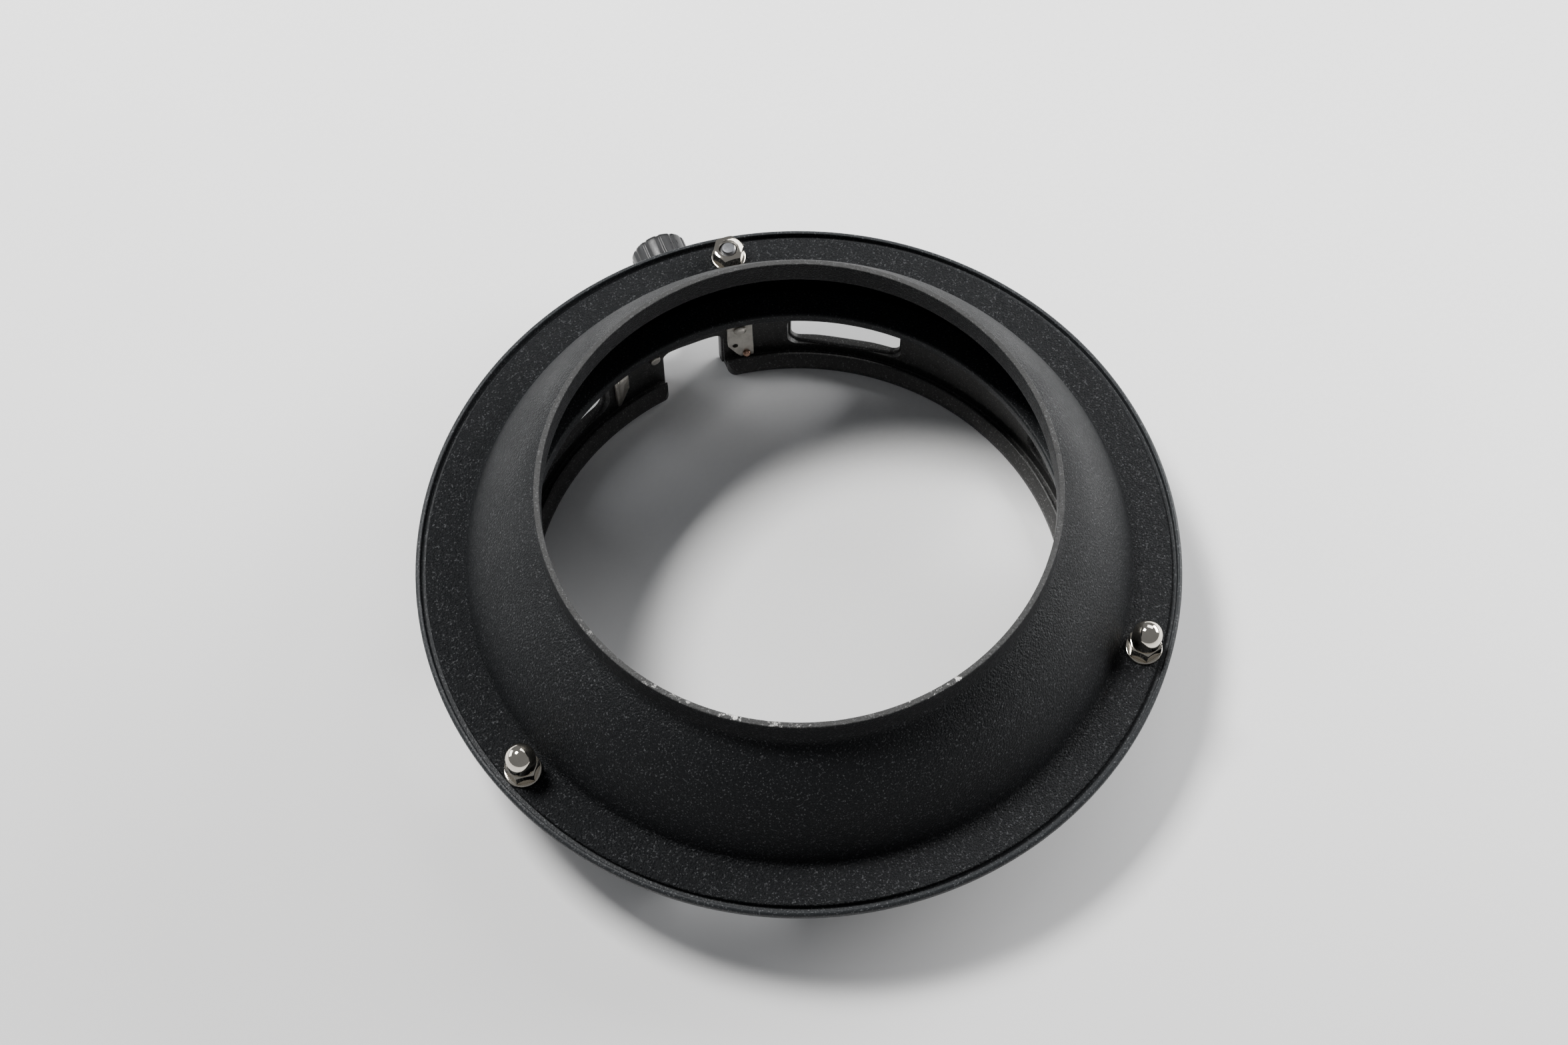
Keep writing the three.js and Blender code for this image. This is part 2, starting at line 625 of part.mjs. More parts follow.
// Two cap nuts, and one hexagon that has lost its pressed-on cap and shows the bolt's end
function nuts() {
  const capped = nutHexagon(NUT_Z + CAP_NUT_H - DOME_WALL - DOME_R / 2);
  const shoulder = NUT_Z + CAP_NUT_H - DOME_R;
  const steps = 5;
  const dome = Array.from({ length: steps + 1 }, (_, i) => {
    const a = (Math.PI / 2) * (i / steps);
    return [i === steps ? 0 : DOME_R * Math.cos(a), shoulder + DOME_R * Math.sin(a)];
  });
  const cap = solid(turned([[0, NUT_Z + NUT_H / 2], [DOME_R, NUT_Z + NUT_H / 2], ...dome], HOLE_FACETS));
  const capNut = capped.body.add(cap).subtract(capped.bore);
  const open = nutHexagon(NUT_Z + NUT_H + 1);
  const openNut = open.body.subtract(open.bore);
  const names = ["cap_nut_1", "hex_nut_2", "cap_nut_3"];
  boltAngles.forEach((angle, i) => {
    const nut = geometryOf(names[i].startsWith("hex") ? openNut : capNut);
    add(names[i], atBolt(atAngle(nut, NUT_TURNS[i]), angle), "nickel");
  });
}

// The lock screw: fluted knob, threaded stud with a necked tip, and the nylon pad on it
function lockScrew() {
  const knobProfile = [
    [0, COLLAR_START],
    [KNOB_COLLAR_R, COLLAR_START],
    [KNOB_COLLAR_R, GRIP_START],
    [KNOB_R - 0.5, GRIP_START],
    [KNOB_R, GRIP_START + 0.5],
    [KNOB_R, KNOB_END - 0.8],
    [KNOB_R - 0.8, KNOB_END],
    [0, KNOB_END],
  ];
  const flutes = Array.from({ length: KNOB_FLUTES }, (_, i) => {
    const a = (2 * Math.PI * (i + 0.5)) / KNOB_FLUTES;
    const flute = disc(FLUTE_R, GRIP_START - 1, KNOB_END + 1, 12);
    flute.translate((KNOB_R + FLUTE_R / 2) * Math.cos(a), (KNOB_R + FLUTE_R / 2) * Math.sin(a), 0);
    return solid(flute);
  });
  const studEnd = KNOB_END - KNOB_WALL;
  const socket = disc(THREAD_R + PIN_GAP, COLLAR_START - 1, studEnd + PIN_GAP, HOLE_FACETS);
  const knob = cut(solid(turned(knobProfile, 2 * HOLE_FACETS)), [...flutes, solid(socket)]);
  add("lock_knob", radially(geometryOf(knob), LOCK_ANGLE, LOCK_Z), "black_plastic");

  const shoulder = PAD_START + PAD_T + SEAT_GAP;
  const studProfile = [
    [0, shoulder - NECK_L],
    [NECK_R, shoulder - NECK_L],
    [NECK_R, shoulder],
    [THREAD_R - 0.3, shoulder],
    [THREAD_R, shoulder + 0.3],
    [THREAD_R, studEnd],
    [0, studEnd],
  ];
  const stud = radially(turned(studProfile, HOLE_FACETS), LOCK_ANGLE, LOCK_Z);
  add("lock_stud", stud, "zinc_steel");

  const pocket = PAD_START + PAD_T - NECK_L - PIN_GAP;
  const padProfile = [
    [0, PAD_START],
    [PAD_R - 0.3, PAD_START],
    [PAD_R, PAD_START + 0.3],
    [PAD_R, PAD_START + PAD_T],
    [NECK_R + PIN_GAP, PAD_START + PAD_T],
    [NECK_R + PIN_GAP, pocket],
    [0, pocket],
  ];
  const pad = radially(turned(padProfile, HOLE_FACETS), LOCK_ANGLE, LOCK_Z);
  add("pressure_pad", pad, "nylon");
}

snootCone();
backingRing();
screwInsert();
mountRing();
gripSprings();
stops();
retainingClips();
clipBolts();
washers();
nuts();
lockScrew();

export default snoot;
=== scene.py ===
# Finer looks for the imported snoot: a fine mesh for every CAD node, procedural materials, a pale floor,
# soft window light and the camera.
import math
import bmesh
import bpy
from mathutils import Matrix, Vector, noise


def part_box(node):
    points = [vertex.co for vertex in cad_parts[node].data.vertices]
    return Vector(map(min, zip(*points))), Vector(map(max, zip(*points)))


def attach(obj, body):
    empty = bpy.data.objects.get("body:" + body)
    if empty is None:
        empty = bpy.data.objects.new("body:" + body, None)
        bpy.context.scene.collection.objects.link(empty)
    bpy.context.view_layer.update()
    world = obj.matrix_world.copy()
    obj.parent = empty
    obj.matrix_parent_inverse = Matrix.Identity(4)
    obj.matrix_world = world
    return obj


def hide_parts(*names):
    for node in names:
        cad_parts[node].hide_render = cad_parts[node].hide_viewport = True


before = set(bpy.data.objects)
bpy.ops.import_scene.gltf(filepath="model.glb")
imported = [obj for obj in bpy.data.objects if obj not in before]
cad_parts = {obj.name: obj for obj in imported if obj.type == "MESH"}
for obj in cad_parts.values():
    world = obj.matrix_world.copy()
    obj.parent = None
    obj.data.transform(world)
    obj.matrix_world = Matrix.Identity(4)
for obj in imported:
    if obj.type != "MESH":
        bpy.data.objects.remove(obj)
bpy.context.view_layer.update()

MM = 0.001


def corners(node):
    """A CAD node's box in millimetres."""
    low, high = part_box(node)
    return low / MM, high / MM


def angle_of(node):
    """The direction of a node's centre from the rings' axis, in degrees."""
    low, high = corners(node)
    return math.degrees(math.atan2(low.y + high.y, low.x + high.x))


# Sizes read from the CAD nodes
CONE_LOW, CONE_HIGH = corners("snoot_cone")
FLANGE_R, FLANGE_Z, MOUTH_Z = CONE_HIGH.x, CONE_LOW.z, CONE_HIGH.z
RIM_R, LEDGE_TOP = corners("backing_ring")[1].x, corners("backing_ring")[1].z
MOUNT_HIGH = corners("mount_ring")[1]
COLLAR_R, MOUNT_H = MOUNT_HIGH.x, MOUNT_HIGH.z
WASHER_Z, WASHER_TOP = corners("flat_washer_1")[0].z, corners("flat_washer_1")[1].z
NUT_Z, HEX_TOP = corners("hex_nut_2")[0].z, corners("hex_nut_2")[1].z
CAP_TOP = corners("cap_nut_1")[1].z
HEAD_Z, BOLT_TOP = corners("clip_bolt_1")[0].z, corners("clip_bolt_1")[1].z
CLIP_Z, CLIP_TOP = corners("retaining_clip_1")[0].z, corners("retaining_clip_1")[1].z
STRIP_Z, STRIP_TOP = corners("grip_spring_1")[0].z, corners("grip_spring_1")[1].z
KNOB_START, KNOB_END = corners("lock_knob")[0].y, corners("lock_knob")[1].y
LOCK_Z = (corners("lock_knob")[0].z + corners("lock_knob")[1].z) / 2
STUD_START, STUD_END = corners("lock_stud")[0].y, corners("lock_stud")[1].y
PAD_START, PAD_END = corners("pressure_pad")[0].y, corners("pressure_pad")[1].y
BOSS_START, BOSS_END = corners("screw_insert")[0].y, corners("screw_insert")[1].y
BOSS_Z = corners("backing_ring")[0].z
RIVET_Z = (corners("spring_rivet_1")[0].z + corners("spring_rivet_1")[1].z) / 2
PIN_Z = (corners("stop_pin")[0].z + corners("stop_pin")[1].z) / 2
BOLT_ANGLES = [angle_of(f"flat_washer_{i}") for i in (1, 2, 3)]
SPRING_ANGLES = [angle_of(f"spring_rivet_{i}") for i in (1, 2, 3)]
STOP_ANGLE, PIN_ANGLE = angle_of("stop_rivet"), angle_of("stop_pin")

# The other CAD sizes: the cone and its fasteners
SHEET = 1.3
FLANGE_TOP = FLANGE_Z + SHEET
ROOT_R = 78.3
MOUTH_R = 58.0
LIP_H = 7.1
SHOULDER_BULGE = 3.1
BOLT_R = 83.4
THREAD_R = 2.0
PITCH = 0.7
BOLT_HOLE_R = 2.25
BORE_R = 2.1
WASHER_R = 4.3
NUT_AF = 7.0
NUT_TURNS = (22, 8, 2)
DOME_R = 3.45
DOME_WALL = 1.0
HEAD_R = 3.8
HEAD_H = 2.2
SOCKET_AF = 2.5
SOCKET_DEPTH = 1.3
CLIP_T = 1.5
CLIP_W = 11.0
CLIP_REACH = 3.5
CLIP_GAP = 0.3

# The mount ring and its fittings
MOUNT_BORE_R = 64.8
WALL_IN_R = 69.2
WALL_OUT_R = 71.7
COLLAR_T = 2.0
SEAT_T = 2.0
SEAT_EDGE = 1.5
RIDGE_R = 67.2
RIDGE_H = 4.4
RIDGE_TOP_W = 0.6
NOTCH_ANGLE = 91
NOTCH_W = 15.5
NOTCH_TOP = 13.5
NOTCH_CORNER = 2.5
NOTCH_FLARE = 0.5
WINDOW_ANGLES = [NOTCH_ANGLE + side * step for side in (1, -1) for step in (32.5, 90, 147.5)]
WINDOW_W, WINDOW_Z, WINDOW_TOP, WINDOW_CORNER = 28.0, 5.9, 16.8, 2.6
WINDOW_FLARE = 0.55
SPRING_W, SPRING_T, SPRING_FLAT = 6.4, 0.8, 0.7
SPRING_BOW, SPRING_TIP_BOW = 1.1, 0.8
SPRING_CUT = (3.2, 5.2)
SPRING_HOLE_R, SPRING_HOLE_RISE = 0.75, 3.5
STUD_R, STUD_TAIL_R = 1.0, 0.6
STUD_OFFSET = 1.4
STUD_Z = STRIP_Z + 1.6
STOP_W, STOP_T, STOP_FLAT = 3.8, 1.0, 0.8
STOP_CUT = (2.8, 5.5)
RIVET_R, RIVET_HEAD_R = 1.0, 1.6
PIN_R = 1.4

# The backing ring and the lock screw
BACK_Z = 21.0
BACK_TOP = 24.5
LEDGE_R = 63.5
LEDGE_Z = 24.8
LEDGE_FOOT_R = 74.2
RIM_Z = 26.05
RIM_IN_R = 88.8
RIM_SIDE = 1.9
RIM_BEVEL = 0.5
BACK_FOOT_R = 86.5
LOCK_ANGLE = 90
BOSS_W = 12.0
INSERT_R = 3.4
KNOB_R = 7.1
KNOB_COLLAR_R = 4.3
GRIP_START = RIM_R - 0.6
FLUTES = 12
FLUTE_DEPTH = 0.34
FLUTE_SPAN = 0.42
STUD_NECK_R = 1.2
PAD_R = 2.1

# The camera's side, from which the wear and the floor's shading are also told
VIEW_TURN = -22.0
WORN_SIDE = (-0.35, -0.94, 0)
FLOOR_PAINTED_LIT_SIDE = 68
# painted shade and painted light: the two ends of the table's painted falloff of light
FLOOR_PAINTED_SHADE = (0.57, 0.567, 0.566)
FLOOR_PAINTED_LIGHT = (0.93, 0.93, 0.928)
FLOOR_SPECK = (0.66, 0.65, 0.635)
BARE_ALUMINIUM = (0.62, 0.61, 0.59)

# Detail of the fine meshes
RING_FACETS = 576
KNOB_FACETS = 240
DOME_FACETS = 96
SMALL_FACETS = 72
BOLT_FACETS = 60


# ---- meshes ----
def mesh_object(name, verts, faces):
    mesh = bpy.data.meshes.new(name)
    mesh.from_pydata(verts, [], faces)
    work = bmesh.new()
    work.from_mesh(mesh)
    bmesh.ops.recalc_face_normals(work, faces=work.faces)
    work.to_mesh(mesh)
    work.free()
    obj = bpy.data.objects.new(name, mesh)
    bpy.context.scene.collection.objects.link(obj)
    return obj


def loft(name, rows, closed=False):
    """A surface through rows of points, each a ring or a single pole."""
    verts, index, faces = [], [], []
    for row in rows:
        index.append(range(len(verts), len(verts) + len(row)))
        verts += row
    pairs = list(zip(index, index[1:])) + ([(index[-1], index[0])] if closed else [])
    for low, high in pairs:
        count = max(len(low), len(high))
        for k in range(count):
            after = (k + 1) % count
            if len(low) == 1:
                faces.append((low[0], high[after], high[k]))
            elif len(high) == 1:
                faces.append((low[k], low[after], high[0]))
            else:
                faces.append((low[k], low[after], high[after], high[k]))
    return mesh_object(name, verts, faces)


def ring_row(r, z, facets):
    """A ring of points about +Z, or one point when the radius is zero."""
    if r < 1e-6:
        return [(0, 0, z)]
    turn = [2 * math.pi * k / facets for k in range(facets)]
    return [(r * math.cos(a), r * math.sin(a), z) for a in turn]


def revolve(name, profile, facets=SMALL_FACETS, closed=False):
    """A profile of (radius, z) points turned about +Z."""
    return loft(name, [ring_row(r, z, facets) for r, z in profile], closed)


def fillet(points, closed=True):
    """Rounds the corners of a polygon of (x, y, radius) points."""
    out = []
    for i, (x, y, radius) in enumerate(points):
        if radius <= 0 or (not closed and i in (0, len(points) - 1)):
            out.append((x, y))
            continue
        corner = Vector((x, y))
        before = Vector(points[i - 1][:2]) - corner
        after = Vector(points[(i + 1) % len(points)][:2]) - corner
        half = before.angle(after) / 2
        reach = min(radius / math.tan(half), 0.46 * before.length, 0.46 * after.length)
        bend = reach * math.tan(half)
        centre = corner + (before.normalized() + after.normalized()).normalized() * bend / math.sin(half)
        start = corner + before.normalized() * reach - centre
        end = corner + after.normalized() * reach - centre
        a0 = math.atan2(start.y, start.x)
        sweep = (math.atan2(end.y, end.x) - a0 + math.pi) % (2 * math.pi) - math.pi
        steps = max(2, math.ceil(abs(sweep) / math.radians(18)))
        for k in range(steps + 1):
            a = a0 + sweep * k / steps
            out.append((centre.x + bend * math.cos(a), centre.y + bend * math.sin(a)))
    return out


def split(profile, step, closed=True):
    """Adds points so that no segment of a profile is longer than step."""
    out = []
    for i, (x, y) in enumerate(profile):
        out.append((x, y))
        if not closed and i == len(profile) - 1:
            break
        x1, y1 = profile[(i + 1) % len(profile)]
        count = math.ceil(math.hypot(x1 - x, y1 - y) / step)
        out += [(x + (x1 - x) * k / count, y + (y1 - y) * k / count) for k in range(1, count)]
    return out


def bend(a, corner, b, steps=8):
    """A smooth bend from a to b around a corner."""
    out = []
    for k in range(steps + 1):
        t = k / steps
        w = ((1 - t) ** 2, 2 * t * (1 - t), t * t)
        out.append(tuple(w[0] * a[j] + w[1] * corner[j] + w[2] * b[j] for j in (0, 1)))
    return out


def prism(name, outline, z0, z1):
    """An outline of (x, y) points, extruded from z0 to z1."""
    count = len(outline)
    verts = [(x, y, z0) for x, y in outline] + [(x, y, z1) for x, y in outline]
    faces = [(k, (k + 1) % count, count + (k + 1) % count, count + k) for k in range(count)]
    return mesh_object(name, verts, faces + [tuple(range(count)), tuple(range(count, 2 * count))])


def bake(obj):
    """Turns an object's modifiers into mesh."""
    bpy.context.view_layer.update()
    graph = bpy.context.evaluated_depsgraph_get()
    mesh = bpy.data.meshes.new_from_object(obj.evaluated_get(graph))
    old = obj.data
    obj.modifiers.clear()
    obj.data = mesh
    bpy.data.meshes.remove(old)


def combine(obj, tools, operation="DIFFERENCE"):
    """Cuts, joins or intersects an object with closed tools, which are then removed."""
    for tool in tools:
        modifier = obj.modifiers.new("combine", "BOOLEAN")
        modifier.object = tool
        modifier.operation = operation
        modifier.solver = "MANIFOLD"
    bake(obj)
    for tool in tools:
        bpy.data.objects.remove(tool)
    return obj


def bevel(obj, width, segments=3, angle=30):
    modifier = obj.modifiers.new("bevel", "BEVEL")
    modifier.width = width
    modifier.segments = segments
    modifier.limit_method = "ANGLE"
    modifier.angle_limit = math.radians(angle)
    bake(obj)
    return obj


def move(obj, matrix):
    obj.data.transform(matrix)
    return obj


def turn(angle):
    return Matrix.Rotation(math.radians(angle), 4, "Z")


def radial(angle, height):
    """Local +Z points outwards at an angle, local +Y up, and the origin is on the rings' axis."""
    a = math.radians(angle)
    out = Vector((math.cos(a), math.sin(a), 0))
    up = Vector((0, 0, 1))
    place = Matrix.Identity(4)
    for column, axis in enumerate((up.cross(out), up, out)):
        place.col[column] = (*axis, 0)
    place.translation = Vector((0, 0, height))
    return place


def at_bolt(angle):
    return turn(angle) @ Matrix.Translation((BOLT_R, 0, 0))


def cylinder(radius, z0, z1, facets=SMALL_FACETS):
    return revolve("cylinder", [(0, z0), (radius, z0), (radius, z1), (0, z1)], facets)


def hexagon(across_flats, z0, z1):
    outline = []
    for k in range(6):
        a = math.pi / 3 * k
        r = across_flats / 2 / math.cos(math.pi / 6)
        outline.append((r * math.cos(a), r * math.sin(a), 0.12))
    return prism("hexagon", fillet(outline), z0, z1)


def rounded_outline(width, y0, y1, corner, grow=0.0):
    """A rounded rectangle, grown outwards on every side."""
    half = width / 2 + grow
    radius = corner + grow
    sides = ((half, y0 - grow), (half, y1 + grow), (-half, y1 + grow), (-half, y0 - grow))
    out = []
    for (x, y), start in zip(sides, (-90, 0, 90, 180)):
        cx = x - math.copysign(radius, x)
        cy = y - math.copysign(radius, y - (y0 + y1) / 2)
        for k in range(11):
            a = math.radians(start + 9 * k)
            out.append((cx + radius * math.cos(a), cy + radius * math.sin(a)))
    return out


def wall_opening(outline_at, round_over, angle):
    """A cutter through the mount ring's wall that flares at both faces, so that it leaves round edges."""
    depths = [(MOUNT_BORE_R - 6, 1.0)]
    for k in range(6):
        t = round_over * k / 5
        depths.append((WALL_IN_R + t, 1 - math.sqrt(1 - (1 - k / 5) ** 2)))
    for k in range(6):
        t = round_over * (1 - k / 5)
        depths.append((WALL_OUT_R - t, 1 - math.sqrt(1 - (k / 5) ** 2)))
    depths.append((COLLAR_R, 1.0))
    rows = []
    for depth, flare in depths:
        rows.append([(x, y, depth) for x, y in outline_at(flare * round_over)])
    centre = [tuple(sum(p[j] for p in row) / len(row) for j in (0, 1, 2)) for row in (rows[0], rows[-1])]
    return move(loft("opening", [[centre[0]], *rows, [centre[1]]]), radial(angle, 0))


def threaded(name, z0, z1, start_cap, end_cap, facets=40):
    """A threaded rod from z0 to z1 between rows for its two ends."""
    depth = 0.61 * PITCH
    steps = math.ceil((z1 - z0) / PITCH * 10)
    rows = []
    for i in range(steps + 1):
        z = z0 + (z1 - z0) * i / steps
        taper = min(1, (z - z0) / (0.8 * PITCH), (z1 - z) / (0.8 * PITCH))
        row = []
        for k in range(facets):
            a = 2 * math.pi * k / facets
            wave = abs(((z / PITCH - k / facets) % 1) * 2 - 1)
            crest = min(1, max(0, wave * 1.3 - 0.12))
            r = THREAD_R - depth * max(1 - crest, (1 - taper) * 0.75)
            row.append((r * math.cos(a), r * math.sin(a), z))
        rows.append(row)
    first = [ring_row(r, z, facets) for r, z in start_cap]
    last = [ring_row(r, z, facets) for r, z in end_cap]
    return loft(name, first + rows + last)


def finish(obj, name, body, slot, *nodes, smooth=32):
    """Scales a piece to metres, shades it, names it, gives it its slot's material, hands it to its body and
    hides the CAD nodes it stands for.
    """
    move(obj, Matrix.Scale(MM, 4))
    obj.name = name
    obj.data.name = name
    obj.data.polygons.foreach_set("use_smooth", [True] * len(obj.data.polygons))
    obj.data.set_sharp_from_angle(angle=math.radians(smooth))
    obj.data.materials.clear()
    obj.data.materials.append(MATERIALS[slot])
    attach(obj, body)
    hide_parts(*nodes)
    return obj


# ---- materials ----
def add_node(tree, kind, inputs=None, **settings):
    made = tree.nodes.new(kind)
    for key, value in settings.items():
        setattr(made, key, value)
    for key, value in (inputs or {}).items():
        if isinstance(value, bpy.types.NodeSocket):
            tree.links.new(value, made.inputs[key])
        else:
            made.inputs[key].default_value = value
    return made


def math_node(tree, operation, a, b=0.0, clamp=False):
    made = add_node(tree, "ShaderNodeMath", {0: a, 1: b}, operation=operation, use_clamp=clamp)
    return made.outputs[0]


def ramp(tree, value, low, high, to_low=0.0, to_high=1.0):
    inputs = {"Value": value, "From Min": low, "From Max": high, "To Min": to_low, "To Max": to_high}
    return add_node(tree, "ShaderNodeMapRange", inputs, interpolation_type="SMOOTHSTEP").outputs[0]


def mix_colour(tree, factor, a, b):
    made = add_node(tree, "ShaderNodeMix", {"Factor": factor}, data_type="RGBA")
    for socket, value in ((made.inputs[6], a), (made.inputs[7], b)):
        if isinstance(value, bpy.types.NodeSocket):
            tree.links.new(value, socket)
        else:
            socket.default_value = (*value, 1)
    return made.outputs[2]


def distance_along(tree, place, direction):
    """How far a point lies along a direction, in metres."""
    inputs = {0: place, 1: direction}
    return add_node(tree, "ShaderNodeVectorMath", inputs, operation="DOT_PRODUCT").outputs["Value"]


def grain(tree, place, size, detail=3.0, roughness=0.55):
    """Noise with features of a given size in millimetres."""
    inputs = {"Vector": place, "Scale": 1 / (size * MM), "Detail": detail, "Roughness": roughness}
    return add_node(tree, "ShaderNodeTexNoise", inputs).outputs[0]


def new_material(name):
    material = bpy.data.materials.new(name)
    material.use_nodes = True
    tree = material.node_tree
    tree.nodes.clear()
    shader = tree.nodes.new("ShaderNodeBsdfPrincipled")
    output = tree.nodes.new("ShaderNodeOutputMaterial")
    tree.links.new(shader.outputs[0], output.inputs[0])
    place = tree.nodes.new("ShaderNodeTexCoord").outputs["Object"]
    return material, tree, shader, place


def connect(tree, shader, **values):
    for key, value in values.items():
        socket = shader.inputs[key.replace("_", " ")]
        if isinstance(value, bpy.types.NodeSocket):
            tree.links.new(value, socket)
        elif isinstance(value, tuple):
            socket.default_value = (*value, 1)
        else:
            socket.default_value = value


def bump(tree, height, depth, strength=1.0, normal=None):
    inputs = {"Height": height, "Distance": depth * MM, "Strength": strength}
    if normal:
        inputs["Normal"] = normal
    return add_node(tree, "ShaderNodeBump", inputs).outputs[0]


def paint(name, dark, light, rough, cell, depth, specular=0.5, mouth_wear=False):
    """A textured coat: rounded grains over a finer grain, uneven gloss and fine pale specks that are painted
    glints.
    """
    material, tree, shader, place = new_material(name)
    cells = add_node(
        tree, "ShaderNodeTexVoronoi", {"Vector": place, "Scale": 1 / (cell * MM), "Smoothness": 0.6},
        feature="SMOOTH_F1",
    ).outputs["Distance"]
    fine = grain(tree, place, cell * 0.45, 4)
    patches = grain(tree, place, 16, 3)
    height = math_node(tree, "SUBTRACT", math_node(tree, "MULTIPLY", fine, 0.9), cells)
    axes = add_node(tree, "ShaderNodeSeparateXYZ", {0: place})
    strength = 1.0
    if mouth_wear:
        # the coat is rougher on the flat flange than on the drawn shoulder
        strength = ramp(tree, axes.outputs[2], (FLANGE_TOP + 0.5) * MM, (FLANGE_TOP + 5) * MM, 1.0, 0.5)
    normal = bump(tree, height, depth, strength)
    colour = mix_colour(tree, ramp(tree, fine, 0.35, 0.7), dark, light)
    # painted highlight: fine pale specks in the colour stand in for glints off the grain
    painted_glint = ramp(tree, grain(tree, place, 0.45, 2), 0.58, 0.7, 0, 0.6)
    colour = mix_colour(tree, painted_glint, colour, tuple(3 * c + 0.05 for c in light))
    gloss = ramp(tree, patches, 0.3, 0.7, rough - 0.05, rough + 0.06)
    gloss = math_node(tree, "ADD", gloss, ramp(tree, fine, 0.3, 0.75, 0.06, -0.06), clamp=True)
    metal = 0.0
    if mouth_wear:
        # bare aluminium shows along the cut edge of the mouth and at small chips beside it
        edge = ramp(tree, axes.outputs[2], (MOUTH_Z - 0.35) * MM, (MOUTH_Z - 0.08) * MM)
        chips = ramp(tree, grain(tree, place, 3.2, 5, 0.75), 0.53, 0.64)
        side = distance_along(tree, place, WORN_SIDE)
        worn = ramp(tree, side, 0.3 * MOUTH_R * MM, MOUTH_R * MM, 0.05, 1.0)
        rub = ramp(tree, grain(tree, place, 19, 2), 0.4, 0.62, 0.1, 1.0)
        low = ramp(tree, axes.outputs[2], (MOUTH_Z - 0.9) * MM, (MOUTH_Z - 0.15) * MM)
        spots = ramp(tree, math_node(tree, "MULTIPLY", grain(tree, place, 1.3, 3, 0.7), low), 0.6, 0.68)
        bare = math_node(tree, "MULTIPLY", edge, math_node(tree, "MULTIPLY", chips, rub))
        bare = math_node(tree, "MAXIMUM", bare, math_node(tree, "MULTIPLY", spots, rub))
        bare = math_node(tree, "MULTIPLY", bare, worn)
        bare = math_node(tree, "MAXIMUM", bare, math_node(tree, "MULTIPLY", edge, 0.05), clamp=True)
        colour = mix_colour(tree, bare, colour, BARE_ALUMINIUM)
        metal = math_node(tree, "MULTIPLY", bare, 0.9)
    shader.inputs["Specular IOR Level"].default_value = specular
    connect(tree, shader, Base_Color=colour, Roughness=gloss, Normal=normal, Metallic=metal)
    return material


def metal(name, colour, rough, scratch=0.4, stain=0.12, cell=0.25, depth=0.004):
    """Plated or bare metal: fine marks in the surface, faint stains and uneven polish."""
    material, tree, shader, place = new_material(name)
    marks = grain(tree, place, cell, 4, 0.6)
    cloud = grain(tree, place, 2.2, 4, 0.65)
    spread = add_node(tree, "ShaderNodeMapping", {"Vector": place, "Scale": (1.0, 1.0, 9.0)}).outputs[0]
    lines = grain(tree, spread, 0.6, 3, 0.7)
    darker = tuple(c * 0.62 for c in colour)
    tint = mix_colour(tree, ramp(tree, cloud, 0.35, 0.75, 0, stain * 3), colour, darker)
    gloss = ramp(tree, cloud, 0.3, 0.75, rough * 0.8, rough * 1.5)
    gloss = math_node(tree, "ADD", gloss, ramp(tree, lines, 0.4, 0.8, 0, scratch * rough), clamp=True)
    normal = bump(tree, marks, depth, 0.8)
    normal = bump(tree, lines, depth, scratch, normal)
    connect(tree, shader, Base_Color=tint, Metallic=1.0, Roughness=gloss, Normal=normal)
    return material


def plastic(name, colour, rough, depth, specular=0.5, milky=False):
    """Moulded plastic with a faint orange-peel surface and handling marks."""
    material, tree, shader, place = new_material(name)
    peel = grain(tree, place, 0.5, 3)
    cloud = grain(tree, place, 3.0, 4, 0.65)
    paler = tuple(min(1, c * 1.5 + 0.002) for c in colour)
    tint = mix_colour(tree, ramp(tree, cloud, 0.35, 0.75), colour, paler)
    gloss = ramp(tree, cloud, 0.3, 0.75, rough * 0.75, rough * 1.3)
    shader.inputs["Specular IOR Level"].default_value = specular
    if milky:
        shader.inputs["Subsurface Weight"].default_value = 0.2
        shader.inputs["Subsurface Scale"].default_value = MM
    connect(tree, shader, Base_Color=tint, Roughness=gloss, Normal=bump(tree, peel, depth, 0.7))
    return material


def tabletop(name):
    """A pale matt table with a painted light falloff: paler on the side away from the camera, darker towards
    it.
    """
    material, tree, shader, place = new_material(name)
    broad = grain(tree, place, 260, 3)
    fine = grain(tree, place, 1.3, 5, 0.65)
    side = math.radians(FLOOR_PAINTED_LIT_SIDE + VIEW_TURN)
    # painted light: the tint runs from painted shade near the camera to painted light on the far side, with
    # random tone added
    painted_falloff = ramp(tree, distance_along(tree, place, (math.cos(side), math.sin(side), 0)), -0.2, 0.2)
    uneven = ramp(tree, broad, 0.3, 0.7, -0.06, 0.06)
    painted_light_and_tone = math_node(tree, "ADD", painted_falloff, uneven, clamp=True)
    tint = mix_colour(tree, painted_light_and_tone, FLOOR_PAINTED_SHADE, FLOOR_PAINTED_LIGHT)
    tint = mix_colour(tree, ramp(tree, fine, 0.3, 0.75, 0, 0.12), tint, FLOOR_SPECK)
    connect(tree, shader, Base_Color=tint, Roughness=0.62, Normal=bump(tree, fine, 0.03, 0.35))
    return material


